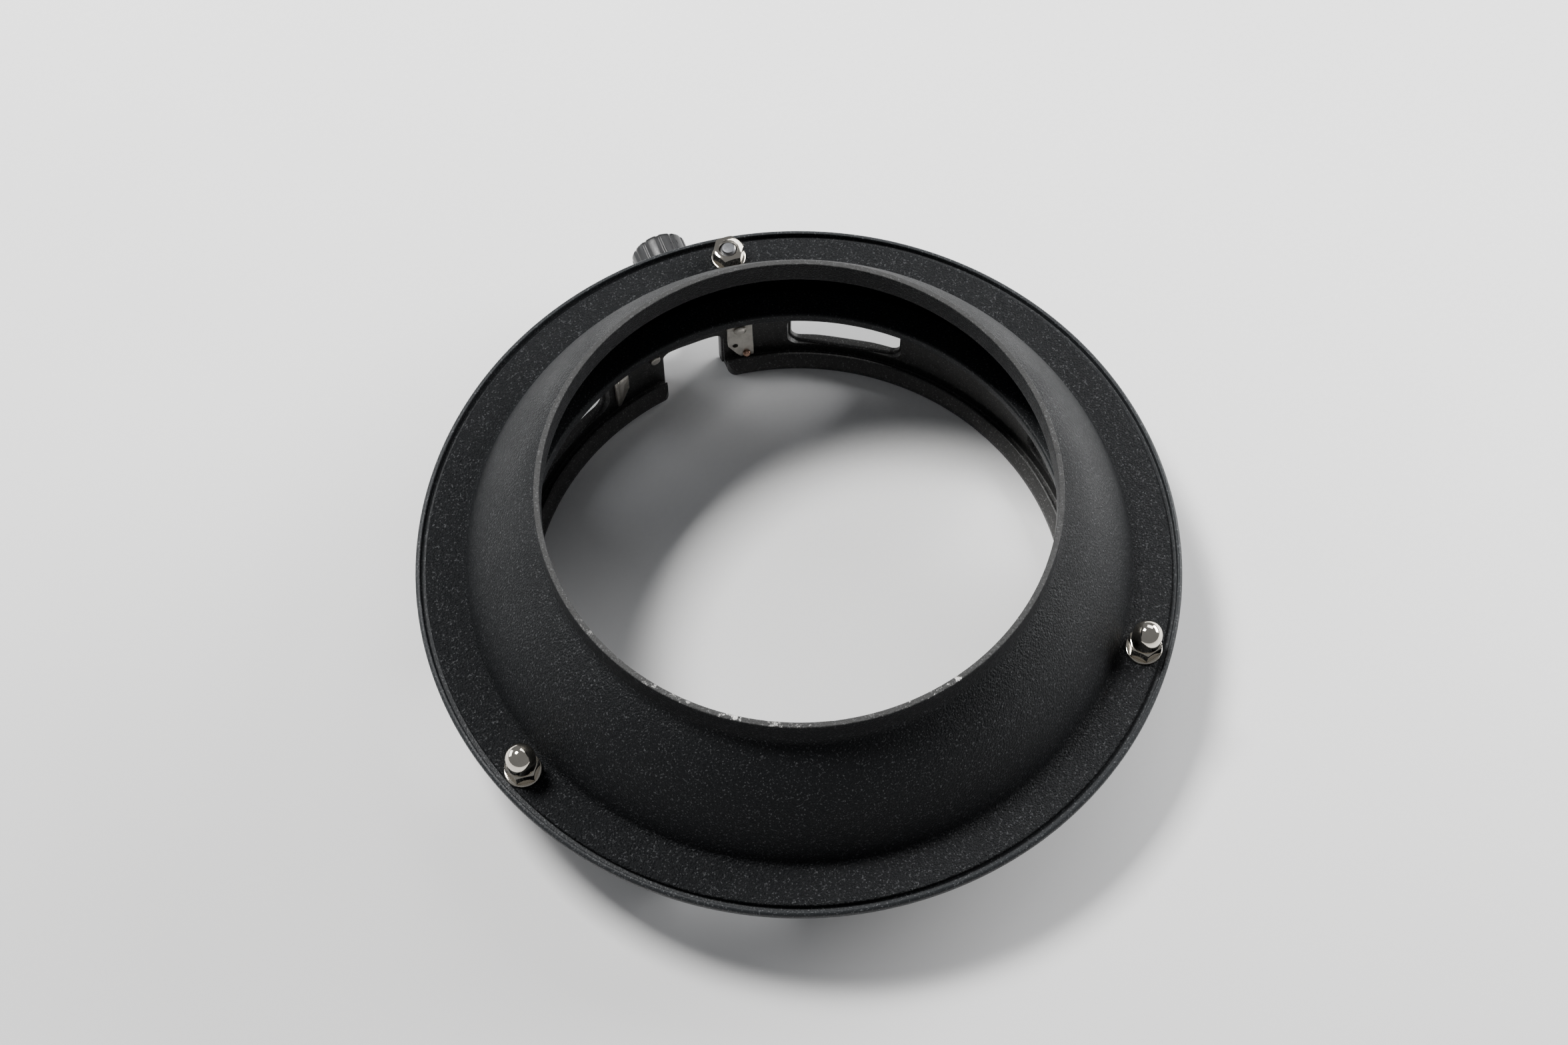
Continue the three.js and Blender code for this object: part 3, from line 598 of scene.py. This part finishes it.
MATERIALS = {
    "crackle_black": paint(
        "crackle_black", (0.0030, 0.0035, 0.0040), (0.010, 0.0107, 0.0118),
        rough=0.44, cell=0.46, depth=0.34, specular=0.11, mouth_wear=True,
    ),
    "satin_black": paint(
        "satin_black", (0.012, 0.0132, 0.0145), (0.019, 0.0205, 0.022),
        rough=0.42, cell=0.45, depth=0.05, specular=0.14,
    ),
    "cast_black": paint(
        "cast_black", (0.030, 0.0297, 0.029), (0.046, 0.0455, 0.0445),
        rough=0.46, cell=0.6, depth=0.03, specular=0.34,
    ),
    "nickel": metal("nickel", (0.72, 0.67, 0.58), rough=0.05, scratch=0.5, stain=0.08, depth=0.0015),
    "dull_nickel": metal(
        "dull_nickel", (0.66, 0.63, 0.57), rough=0.34, scratch=0.5, stain=0.2, cell=0.3, depth=0.01
    ),
    "zinc_steel": metal(
        "zinc_steel", (0.12, 0.122, 0.128), rough=0.4, stain=0.25, cell=0.3, depth=0.01
    ),
    "copper": metal("copper", (0.78, 0.47, 0.34), rough=0.26, stain=0.2),
    "brass": metal("brass", (0.68, 0.52, 0.24), rough=0.28, scratch=0.5, stain=0.15),
    "black_plastic": plastic("black_plastic", (0.006, 0.006, 0.0065), rough=0.34, depth=0.012, specular=0.3),
    "nylon": plastic("nylon", (0.68, 0.66, 0.58), rough=0.5, depth=0.01, milky=True),
}


# ---- the snoot cone ----
def shoulder_arc(inset, first, last, steps):
    """Part of the shoulder's arc between two fractions of its length, offset inwards by inset."""
    root = Vector((ROOT_R, FLANGE_TOP))
    neck = Vector((MOUTH_R + SHEET, MOUTH_Z - LIP_H))
    chord = neck - root
    half = chord.length / 2
    radius = (half * half + SHOULDER_BULGE * SHOULDER_BULGE) / (2 * SHOULDER_BULGE)
    outward = Vector((chord.y, -chord.x)).normalized()
    centre = (root + neck) / 2 - outward * (radius - SHOULDER_BULGE)
    a0 = math.atan2(root.y - centre.y, root.x - centre.x)
    a1 = math.atan2(neck.y - centre.y, neck.x - centre.x)
    out = []
    for k in range(steps + 1):
        a = a0 + (a1 - a0) * (first + (last - first) * k / steps)
        r = radius - inset
        out.append((centre.x + r * math.cos(a), centre.y + r * math.sin(a)))
    return out


def snoot_cone():
    lip = MOUTH_R + SHEET
    neck_z = MOUTH_Z - LIP_H
    outer = shoulder_arc(0, 0.05, 0.955, 40)
    inner = shoulder_arc(SHEET, 0.045, 0.94, 40)[::-1]
    profile = fillet([(ROOT_R + 2, FLANGE_Z, 0), (FLANGE_R, FLANGE_Z, 0.35), (FLANGE_R, FLANGE_TOP, 0.5),
                      (ROOT_R + 2, FLANGE_TOP, 0)], closed=False)
    profile += bend((ROOT_R + 1.5, FLANGE_TOP), (ROOT_R, FLANGE_TOP), outer[0])
    profile += outer[1:-1]
    profile += bend(outer[-1], (lip, neck_z), (lip, neck_z + 1.6))
    profile += fillet([(lip, neck_z + 2, 0), (lip, MOUTH_Z, 0.22), (MOUTH_R, MOUTH_Z, 0.22),
                       (MOUTH_R, neck_z + 2, 0)], closed=False)
    profile += bend((MOUTH_R, neck_z + 1.2), (MOUTH_R, neck_z), inner[0])
    profile += inner[1:-1]
    profile += bend(inner[-1], (ROOT_R - 1.3, FLANGE_Z), (ROOT_R + 1.2, FLANGE_Z))
    cone = revolve("cone", split(profile, 1.6), RING_FACETS, closed=True)
    holes = [move(cylinder(BOLT_HOLE_R, FLANGE_Z - 1, FLANGE_TOP + 1, 48), at_bolt(a)) for a in BOLT_ANGLES]
    combine(cone, holes)
    # the spun sheet is a little uneven, and its sheared mouth edge has small nicks
    for vertex in cone.data.vertices:
        x, y, z = vertex.co
        r = math.hypot(x, y)
        if z > MOUTH_Z - 0.5:
            along = Vector((x, y, 0)) * 0.45
            nick = max(0, noise.noise(along) - 0.25) * 0.45 + max(0, noise.noise(along * 3.1) - 0.3) * 0.3
            vertex.co.z -= nick * (z - MOUTH_Z + 0.5) / 0.5
        elif z > FLANGE_TOP + 4 and r > MOUTH_R + 0.2:
            wave = noise.noise(Vector((x, y, z)) * 0.035) * 0.06
            vertex.co.x -= abs(wave) * x / r
            vertex.co.y -= abs(wave) * y / r
    finish(cone, "fine_cone", "head", "crackle_black", "snoot_cone")


# ---- the backing ring ----
def backing_ring():
    profile = fillet([
        (LEDGE_R, LEDGE_Z, 0.4), (WALL_IN_R, LEDGE_Z, 0.3), (WALL_IN_R, BACK_Z, 0.3),
        (BACK_FOOT_R, BACK_Z, 0.6), (RIM_R, RIM_Z - RIM_SIDE, 0.9), (RIM_R, RIM_Z - RIM_BEVEL, 0.8),
        (RIM_R - RIM_BEVEL, RIM_Z, 0.8), (RIM_IN_R, RIM_Z, 0.25), (RIM_IN_R, BACK_TOP, 0.25),
        (LEDGE_FOOT_R, BACK_TOP, 0.8), (LEDGE_FOOT_R - LEDGE_TOP + BACK_TOP, LEDGE_TOP, 0.8),
        (LEDGE_R, LEDGE_TOP, 0.7),
    ])
    ring = revolve("ring", split(profile, 3), RING_FACETS, closed=True)
    block = prism("boss", rounded_outline(BOSS_W, BOSS_Z, BACK_Z + 1.75, 1.2), BOSS_START, BOSS_END)
    bevel(block, 0.45, 4)
    combine(ring, [move(block, radial(LOCK_ANGLE, 0))], "UNION")
    holes = [move(cylinder(BOLT_HOLE_R, BACK_Z - 1, BACK_TOP + 1, 48), at_bolt(a)) for a in BOLT_ANGLES]
    seat = fillet([(0, BOSS_START - 1, 0), (INSERT_R + 0.6, BOSS_START - 1, 0), (INSERT_R + 0.6, BOSS_START, 0),
                   (INSERT_R + 0.1, BOSS_START + 0.5, 0), (INSERT_R + 0.1, BOSS_END - 0.5, 0),
                   (INSERT_R + 0.6, BOSS_END, 0), (INSERT_R + 0.6, BOSS_END + 1, 0), (0, BOSS_END + 1, 0)])
    holes.append(move(revolve("seat", seat, 64), radial(LOCK_ANGLE, LOCK_Z)))
    combine(ring, holes)
    finish(ring, "fine_backing_ring", "head", "satin_black", "backing_ring")

    bush = fillet([(BORE_R, BOSS_START, 0.2), (INSERT_R, BOSS_START, 0.25), (INSERT_R, BOSS_END, 0.25),
                   (BORE_R, BOSS_END, 0.3)])
    bush = move(revolve("bush", bush, SMALL_FACETS, closed=True), radial(LOCK_ANGLE, LOCK_Z))
    finish(bush, "fine_insert", "head", "brass", "screw_insert")


# ---- the mount ring ----
def mount_ring():
    collar_z = MOUNT_H - COLLAR_T
    profile = fillet([
        (MOUNT_BORE_R, 0, 0.4), (WALL_OUT_R, 0, 0.7), (WALL_OUT_R, collar_z, 0.6), (COLLAR_R, collar_z, 0.35),
        (COLLAR_R, MOUNT_H, 0.35), (WALL_IN_R, MOUNT_H, 0.4), (WALL_IN_R, SEAT_T, 0.5),
        (RIDGE_R, SEAT_T, 0.4), (RIDGE_R, RIDGE_H, 0.3), (RIDGE_R - RIDGE_TOP_W, RIDGE_H, 0.5),
        (MOUNT_BORE_R, SEAT_EDGE, 0.4),
    ])
    ring = revolve("ring", split(profile, 2.2), RING_FACETS, closed=True)

    def window(grow):
        return rounded_outline(WINDOW_W, WINDOW_Z, WINDOW_TOP, WINDOW_CORNER, grow)

    def notch(grow):
        # it is open downwards, through the seat
        half, top = NOTCH_W / 2 + grow, NOTCH_TOP + grow
        return fillet([(half, -6, 0), (half, top, NOTCH_CORNER), (-half, top, NOTCH_CORNER), (-half, -6, 0)],
                      closed=False)

    tools = [wall_opening(window, WINDOW_FLARE, angle) for angle in WINDOW_ANGLES]
    tools.append(wall_opening(notch, NOTCH_FLARE, NOTCH_ANGLE))
    for angle in (*SPRING_ANGLES, STOP_ANGLE):
        hole = [(0, WALL_IN_R - 1), (1.1, WALL_IN_R - 1), (1.1, WALL_OUT_R - 0.7), (1.7, WALL_OUT_R),
                (1.7, WALL_OUT_R + 1), (0, WALL_OUT_R + 1)]
        tools.append(move(revolve("hole", hole, 32), radial(angle, RIVET_Z)))
    tools.append(move(cylinder(PIN_R + 0.1, WALL_IN_R - 1, WALL_OUT_R + 1, 32), radial(PIN_ANGLE, PIN_Z)))
    combine(ring, tools)
    for side in (-1, 1):
        corner_cut(ring, side)
    finish(ring, "fine_mount_ring", "mount", "cast_black", "mount_ring")


def corner_cut(ring, side, radius=2.4, clear=2.0):
    """Rounds the seat's corner between the bore and one side of the notch."""
    half = NOTCH_W / 2 + NOTCH_FLARE
    lean = math.asin(half / MOUNT_BORE_R)
    tip = (MOUNT_BORE_R * math.cos(lean), half)
    along = (tip[0] - 3 * radius * math.sin(lean), tip[1] + 3 * radius * math.cos(lean))
    arc = fillet([(tip[0] + 3 * radius, half, 0), (*tip, radius), (*along, 0)], closed=False)[1:-1]
    outline = arc + [(arc[-1][0] - clear, arc[-1][1]), (tip[0] - clear, tip[1] - clear),
                     (arc[0][0], arc[0][1] - clear)]
    tool = prism("corner", [(x, y * side) for x, y in outline], -1, MOUNT_H / 2 - 4)
    combine(ring, [move(tool, turn(NOTCH_ANGLE))])


def smooth_path(points, steps=8):
    """A curve through points, with the first segment kept straight."""
    out = [points[0]]
    for i in range(1, len(points) - 1):
        a, b, c = (Vector(points[j]) for j in (i - 1, i, i + 1))
        start = b + (a - b).normalized() * min((a - b).length * 0.45, 2.6)
        end = b + (c - b).normalized() * min((c - b).length * 0.45, 2.6)
        out += bend(tuple(start), tuple(b), tuple(end), steps)
    return out + [points[-1]]


def leaf(path, thickness, width, y_cut, cut, holes, angle):
    """A strip on the inside of the wall along a path of (inset, z), with one lower corner cut off."""
    line = [Vector((WALL_IN_R - inset, z)) for inset, z in smooth_path(path)]
    left, right = [], []
    for i, point in enumerate(line):
        along = (line[min(i + 1, len(line) - 1)] - line[max(i - 1, 0)]).normalized()
        side = Vector((-along.y, along.x)) * thickness / 2
        left.append(point + side)
        right.append(point - side)
    strip = prism("leaf", [tuple(p) for p in left + right[::-1]], -width / 2, width / 2)
    move(strip, Matrix.Rotation(math.pi / 2, 4, "X"))
    foot = path[-1][1]
    side = math.copysign(1, y_cut)
    wedge = [(y_cut, foot + cut[1]), (y_cut - side * cut[0], foot), (y_cut + side * cut[0], foot - cut[1])]
    tools = [move(prism("wedge", wedge, 0, 2 * WALL_IN_R), radial(0, 0))]
    for radius, y, z in holes:
        hole = move(cylinder(radius, MOUNT_BORE_R - 2, WALL_IN_R + 1, 32), Matrix.Translation((y, 0, 0)))
        tools.append(move(hole, radial(0, z)))
    combine(strip, tools)
    bevel(strip, 0.13, 2, 40)
    return move(strip, turn(angle))


def rivet(sheet, angle, name, node):
    face = WALL_IN_R - 0.3 - sheet - 0.3
    tail = WALL_OUT_R - 0.05
    profile = fillet([(0, face - 0.7, 0), (RIVET_R, face - 0.7, 0.5), (RIVET_HEAD_R, face - 0.3, 0.35),
                      (RIVET_HEAD_R, face, 0.1), (RIVET_R, face, 0), (RIVET_R, WALL_OUT_R - 0.7, 0),
                      (RIVET_HEAD_R, tail, 0.1), (0, tail, 0)], closed=False)
    piece = move(revolve("rivet", profile, 48), radial(angle, RIVET_Z))
    finish(piece, name, "mount", "dull_nickel", node)


def contact_stud():
    """The round contact that is pressed into a grip spring, along +Z."""
    face = WALL_IN_R - SPRING_FLAT - SPRING_BOW - SPRING_T / 2 - 0.1
    profile = fillet([(0, face - 0.7, 0), (STUD_TAIL_R, face - 0.7, 0.3), (STUD_R, face - 0.35, 0.3),
                      (STUD_R, face, 0.08), (STUD_TAIL_R, face, 0), (STUD_TAIL_R, face + 0.9, 0.08),
                      (0, face + 0.9, 0)], closed=False)
    return move(revolve("stud", profile, 48), Matrix.Translation((-STUD_OFFSET, 0, 0)))


def mount_fittings():
    path = [(SPRING_FLAT, STRIP_TOP), (SPRING_FLAT, RIVET_Z - 1.6), (SPRING_FLAT + SPRING_BOW, STUD_Z),
            (SPRING_FLAT + SPRING_TIP_BOW, STRIP_Z + 0.05)]
    holes = [(1.3, 0, RIVET_Z), (SPRING_HOLE_R, STUD_OFFSET, STUD_Z + SPRING_HOLE_RISE),
             (STUD_TAIL_R + 0.1, -STUD_OFFSET, STUD_Z)]
    for i, angle in enumerate(SPRING_ANGLES, 1):
        spring = leaf(path, SPRING_T, SPRING_W, SPRING_W / 2, SPRING_CUT, holes, angle)
        finish(spring, f"fine_grip_spring_{i}", "mount", "dull_nickel", f"grip_spring_{i}")
        rivet(SPRING_T, angle, f"fine_spring_rivet_{i}", f"spring_rivet_{i}")
        stud = move(contact_stud(), radial(angle, STUD_Z))
        finish(stud, f"fine_grip_stud_{i}", "mount", "copper", f"grip_stud_{i}")
    path = [(STOP_FLAT, STRIP_TOP), (STOP_FLAT, STRIP_Z)]
    tab = leaf(path, STOP_T, STOP_W, -STOP_W / 2, STOP_CUT, [(1.1, 0, RIVET_Z)], STOP_ANGLE)
    finish(tab, "fine_stop_tab", "mount", "dull_nickel", "stop_tab")
    rivet(STOP_T, STOP_ANGLE, "fine_stop_rivet", "stop_rivet")
    profile = fillet([(0, WALL_IN_R - 0.9, 0), (PIN_R, WALL_IN_R - 0.9, 0.4), (PIN_R, WALL_OUT_R - 0.05, 0.15),
                      (0, WALL_OUT_R - 0.05, 0)], closed=False)
    pin = move(revolve("pin", profile, 48), radial(PIN_ANGLE, PIN_Z))
    finish(pin, "fine_stop_pin", "mount", "dull_nickel", "stop_pin")


# ---- clips and fasteners ----
def clip(angle):
    """A stepped clip that reaches under the mount ring's collar."""
    step_in = COLLAR_R + CLIP_GAP
    step_out = step_in + CLIP_T
    reach = step_in - CLIP_REACH
    outer = BOLT_R + HEAD_R
    outline = fillet([
        (reach, CLIP_Z, 0.2), (step_out, CLIP_Z, 0.9), (step_out, CLIP_TOP - CLIP_T, 0.3),
        (outer, CLIP_TOP - CLIP_T, 0.2), (outer, CLIP_TOP, 0.2), (step_in, CLIP_TOP, 0.9),
        (step_in, CLIP_Z + CLIP_T, 0.2), (reach, CLIP_Z + CLIP_T, 0.2),
    ])
    plate = move(prism("clip", outline, -CLIP_W / 2, CLIP_W / 2), Matrix.Rotation(math.pi / 2, 4, "X"))
    trim = rounded_outline(CLIP_W, reach, outer, 1.8)
    plan = prism("plan", [(y, -x) for x, y in trim], CLIP_Z - 1, CLIP_TOP + 1)
    combine(plate, [plan], "INTERSECT")
    hole = move(cylinder(BOLT_HOLE_R, CLIP_Z, CLIP_TOP + 1, 48), Matrix.Translation((BOLT_R, 0, 0)))
    combine(plate, [hole])
    bevel(plate, 0.15, 2, 50)
    return move(plate, turn(angle))


def clip_bolt():
    top = HEAD_Z + HEAD_H
    head = fillet([(0, HEAD_Z, 0), (HEAD_R * 0.58, HEAD_Z, 0.5), (HEAD_R * 0.86, HEAD_Z + 0.55, 1.2),
                   (HEAD_R, HEAD_Z + 1.55, 0.5), (HEAD_R, top, 0.15), (THREAD_R - 0.3, top, 0)], closed=False)
    tip = [(THREAD_R - 0.55, BOLT_TOP - 0.04), (1.2, BOLT_TOP), (0, BOLT_TOP)]
    bolt = threaded("bolt", top + 0.02, BOLT_TOP - 0.25, head, tip, BOLT_FACETS)
    return combine(bolt, [hexagon(SOCKET_AF, HEAD_Z - 1, HEAD_Z + SOCKET_DEPTH)])


def nut_hexagon():
    corner = NUT_AF / 2 / math.cos(math.pi / 6)
    chamfer = corner - NUT_AF / 2
    shape = [(0, NUT_Z), (NUT_AF / 2 - 0.1, NUT_Z), (corner + 0.02, NUT_Z + chamfer * 0.62),
             (corner + 0.02, HEX_TOP - chamfer * 0.62), (NUT_AF / 2 - 0.1, HEX_TOP), (0, HEX_TOP)]
    return combine(hexagon(NUT_AF, NUT_Z, HEX_TOP), [revolve("turned", shape, 120)], "INTERSECT")


def cap_nut():
    nut = nut_hexagon()
    shoulder = CAP_TOP - DOME_R
    neck = HEX_TOP + 0.35
    dome = [(0, NUT_Z + 1.5), (DOME_R - 0.35, NUT_Z + 1.5), (DOME_R - 0.35, HEX_TOP + 0.1)]
    dome += bend((DOME_R - 0.35, HEX_TOP + 0.1), (DOME_R - 0.3, neck), (DOME_R, neck + 0.25), 5)[1:]
    for k in range(25):
        a = math.pi / 2 * k / 24
        dome.append((DOME_R * math.cos(a) if k < 24 else 0, shoulder + DOME_R * math.sin(a)))
    combine(nut, [revolve("dome", dome, DOME_FACETS)], "UNION")
    bore_top = CAP_TOP - DOME_WALL - DOME_R / 2
    return combine(nut, [cylinder(BORE_R, NUT_Z - 1, bore_top, 48)])


def open_nut():
    nut = nut_hexagon()
    bore = [(0, NUT_Z - 1), (BORE_R + 0.3, NUT_Z - 1), (BORE_R + 0.3, NUT_Z), (BORE_R, NUT_Z + 0.35),
            (BORE_R, HEX_TOP - 0.35), (BORE_R + 0.3, HEX_TOP), (BORE_R + 0.3, HEX_TOP + 1), (0, HEX_TOP + 1)]
    return combine(nut, [revolve("bore", bore, 60)])


def fasteners():
    for i, angle in enumerate(BOLT_ANGLES, 1):
        finish(clip(angle), f"fine_clip_{i}", "head", "nickel", f"retaining_clip_{i}")
        bolt = move(clip_bolt(), at_bolt(angle))
        finish(bolt, f"fine_bolt_{i}", "head", "zinc_steel", f"clip_bolt_{i}")
        washer = fillet([(BOLT_HOLE_R, WASHER_Z, 0.1), (WASHER_R, WASHER_Z, 0.15), (WASHER_R, WASHER_TOP, 0.28),
                         (BOLT_HOLE_R, WASHER_TOP, 0.2)])
        washer = move(revolve("washer", washer, DOME_FACETS, closed=True), at_bolt(angle))
        finish(washer, f"fine_washer_{i}", "head", "nickel", f"flat_washer_{i}")
        node = "hex_nut_2" if i == 2 else f"cap_nut_{i}"
        nut = open_nut() if i == 2 else cap_nut()
        move(nut, at_bolt(angle) @ turn(NUT_TURNS[i - 1] + 30))
        finish(nut, f"fine_{node}", "head", "nickel", node)


# ---- the lock screw ----
def lock_screw():
    facets = KNOB_FACETS

    def knob_row(x, inset, fluted):
        row = []
        for k in range(facets):
            a = 2 * math.pi * k / facets
            t = abs(((k * FLUTES / facets) % 1) - 0.5) * 2
            dip = math.cos(min(1, (1 - t) / FLUTE_SPAN) * math.pi / 2) ** 1.6
            r = KNOB_R - inset - (FLUTE_DEPTH * dip if fluted else 0)
            row.append((r * math.cos(a), r * math.sin(a), x))
        return row

    bore_end = STUD_END + 0.1
    rows = [ring_row(r, x, facets) for r, x in ((0, bore_end), (BORE_R, bore_end), (BORE_R, KNOB_START + 0.25),
                                                (BORE_R + 0.25, KNOB_START), (KNOB_COLLAR_R - 0.3, KNOB_START),
                                                (KNOB_COLLAR_R, KNOB_START + 0.3), (KNOB_COLLAR_R, GRIP_START))]
    for k in range(6):
        a = math.pi / 2 * k / 5
        rows.append(knob_row(GRIP_START + 0.6 * (1 - math.cos(a)), 0.6 * (1 - math.sin(a)) + 0.02, k > 0))
    for k in range(1, 8):
        rows.append(knob_row(GRIP_START + 0.6 + (KNOB_END - GRIP_START - 1.9) * k / 8, 0, True))
    for k in range(9):
        a = math.pi / 2 * k / 8
        rows.append(knob_row(KNOB_END - 1.3 + 1.1 * math.sin(a), 1.2 * (1 - math.cos(a)), True))
    face = KNOB_R - 1.2 - FLUTE_DEPTH
    rows += [ring_row(r, x, facets) for r, x in ((face, KNOB_END - 0.16), (face * 0.7, KNOB_END - 0.07),
                                                 (face * 0.35, KNOB_END - 0.02), (0, KNOB_END))]
    knob = move(loft("knob", rows), radial(LOCK_ANGLE, LOCK_Z))
    finish(knob, "fine_knob", "lock_screw", "black_plastic", "lock_knob", smooth=40)

    shoulder = STUD_START + 1.3
    start = fillet([(0, STUD_START, 0), (STUD_NECK_R, STUD_START, 0.2), (STUD_NECK_R, shoulder, 0.1),
                    (THREAD_R - 0.3, shoulder, 0)], closed=False)
    end = [(THREAD_R - 0.4, STUD_END - 0.02), (0, STUD_END)]
    stud = threaded("stud", shoulder + 0.05, STUD_END - 0.1, start, end, BOLT_FACETS)
    finish(move(stud, radial(LOCK_ANGLE, LOCK_Z)), "fine_lock_stud", "lock_screw", "zinc_steel", "lock_stud")

    pocket = PAD_END - 1.4
    pocket_r = STUD_NECK_R + 0.1
    pad = fillet([(0, PAD_START, 0), (PAD_R, PAD_START, 0.4), (PAD_R, PAD_END, 0.25), (pocket_r, PAD_END, 0.1),
                  (pocket_r, pocket, 0.1), (0, pocket, 0)], closed=False)
    pad = move(revolve("pad", pad, 64), radial(LOCK_ANGLE, LOCK_Z))
    finish(pad, "fine_pad", "head", "nylon", "pressure_pad")


snoot_cone()
backing_ring()
mount_ring()
mount_fittings()
fasteners()
lock_screw()

# ---- floor, light and camera ----
FLOOR_SIZE = 6.0  # metres

floor = mesh_object("floor", [(x * FLOOR_SIZE / 2, y * FLOOR_SIZE / 2, 0) for x, y in
                              ((-1, -1), (1, -1), (1, 1), (-1, 1))], [(0, 1, 2, 3)])
floor.data.materials.append(tabletop("tabletop"))


def window_light(name, direction, elevation, distance, width, height, power, colour):
    """A soft rectangular light that faces the snoot. Direction 0 is to the camera's right, 90 away from it."""
    a = math.radians(direction + VIEW_TURN)
    e = math.radians(elevation)
    towards = Vector((math.cos(a) * math.cos(e), math.sin(a) * math.cos(e), math.sin(e)))
    data = bpy.data.lights.new(name, "AREA")
    data.shape = "RECTANGLE"
    data.size, data.size_y = width, height
    data.energy = power
    data.color = colour
    light = bpy.data.objects.new(name, data)
    light.location = towards * distance
    light.rotation_mode = "QUATERNION"
    light.rotation_quaternion = towards.to_track_quat("Z", "Y")
    bpy.context.scene.collection.objects.link(light)
    return light


window_light("key", 144, 60, 1.7, 0.46, 0.4, 54, (1.0, 0.995, 0.985))
window_light("window_right", 30, 21, 1.5, 1.1, 0.5, 36, (1.0, 1.0, 1.0))
window_light("window_left", 160, 18, 1.6, 1.0, 0.6, 8, (0.96, 0.98, 1.0))
window_light("window_back", 66, 44, 1.6, 1.0, 0.6, 9, (0.98, 0.99, 1.0))

world = bpy.data.worlds.new("room")
world.use_nodes = True
world.node_tree.nodes["Background"].inputs[0].default_value = (0.93, 0.95, 1.0, 1)
world.node_tree.nodes["Background"].inputs[1].default_value = 0.22
bpy.context.scene.world = world

# The camera looks at the flange's centre from the front, and is then panned, tilted and rolled (degrees)
CAMERA_DISTANCE = 0.5830
CAMERA_ELEVATION = 63.11
CAMERA_LENS = 56.95
CAMERA_PAN, CAMERA_TILT, CAMERA_ROLL = 0.3416, 0.6046, -0.3189


def camera():
    e = math.radians(CAMERA_ELEVATION)
    offset = Vector((0, -math.cos(e), math.sin(e))) * CAMERA_DISTANCE
    forward = -offset.normalized()
    right = Vector((1, 0, 0))
    up = right.cross(forward)
    pan = Matrix.Rotation(math.radians(CAMERA_PAN), 3, up)
    forward, right = pan @ forward, pan @ right
    tilt = Matrix.Rotation(math.radians(CAMERA_TILT), 3, right)
    forward, up = tilt @ forward, tilt @ up
    roll = Matrix.Rotation(math.radians(CAMERA_ROLL), 3, forward)
    right, up = roll @ right, roll @ up
    pose = Matrix.Identity(4)
    for column, axis in enumerate((right, up, -forward)):
        pose.col[column] = (*axis, 0)
    pose.translation = offset
    data = bpy.data.cameras.new("camera")
    data.sensor_width = 36
    data.lens = CAMERA_LENS
    data.clip_start = 0.01
    data.clip_end = 50
    made = bpy.data.objects.new("camera", data)
    made.matrix_world = Matrix.Translation((0, 0, FLANGE_TOP * MM)) @ turn(VIEW_TURN) @ pose
    bpy.context.scene.collection.objects.link(made)
    bpy.context.scene.camera = made


camera()
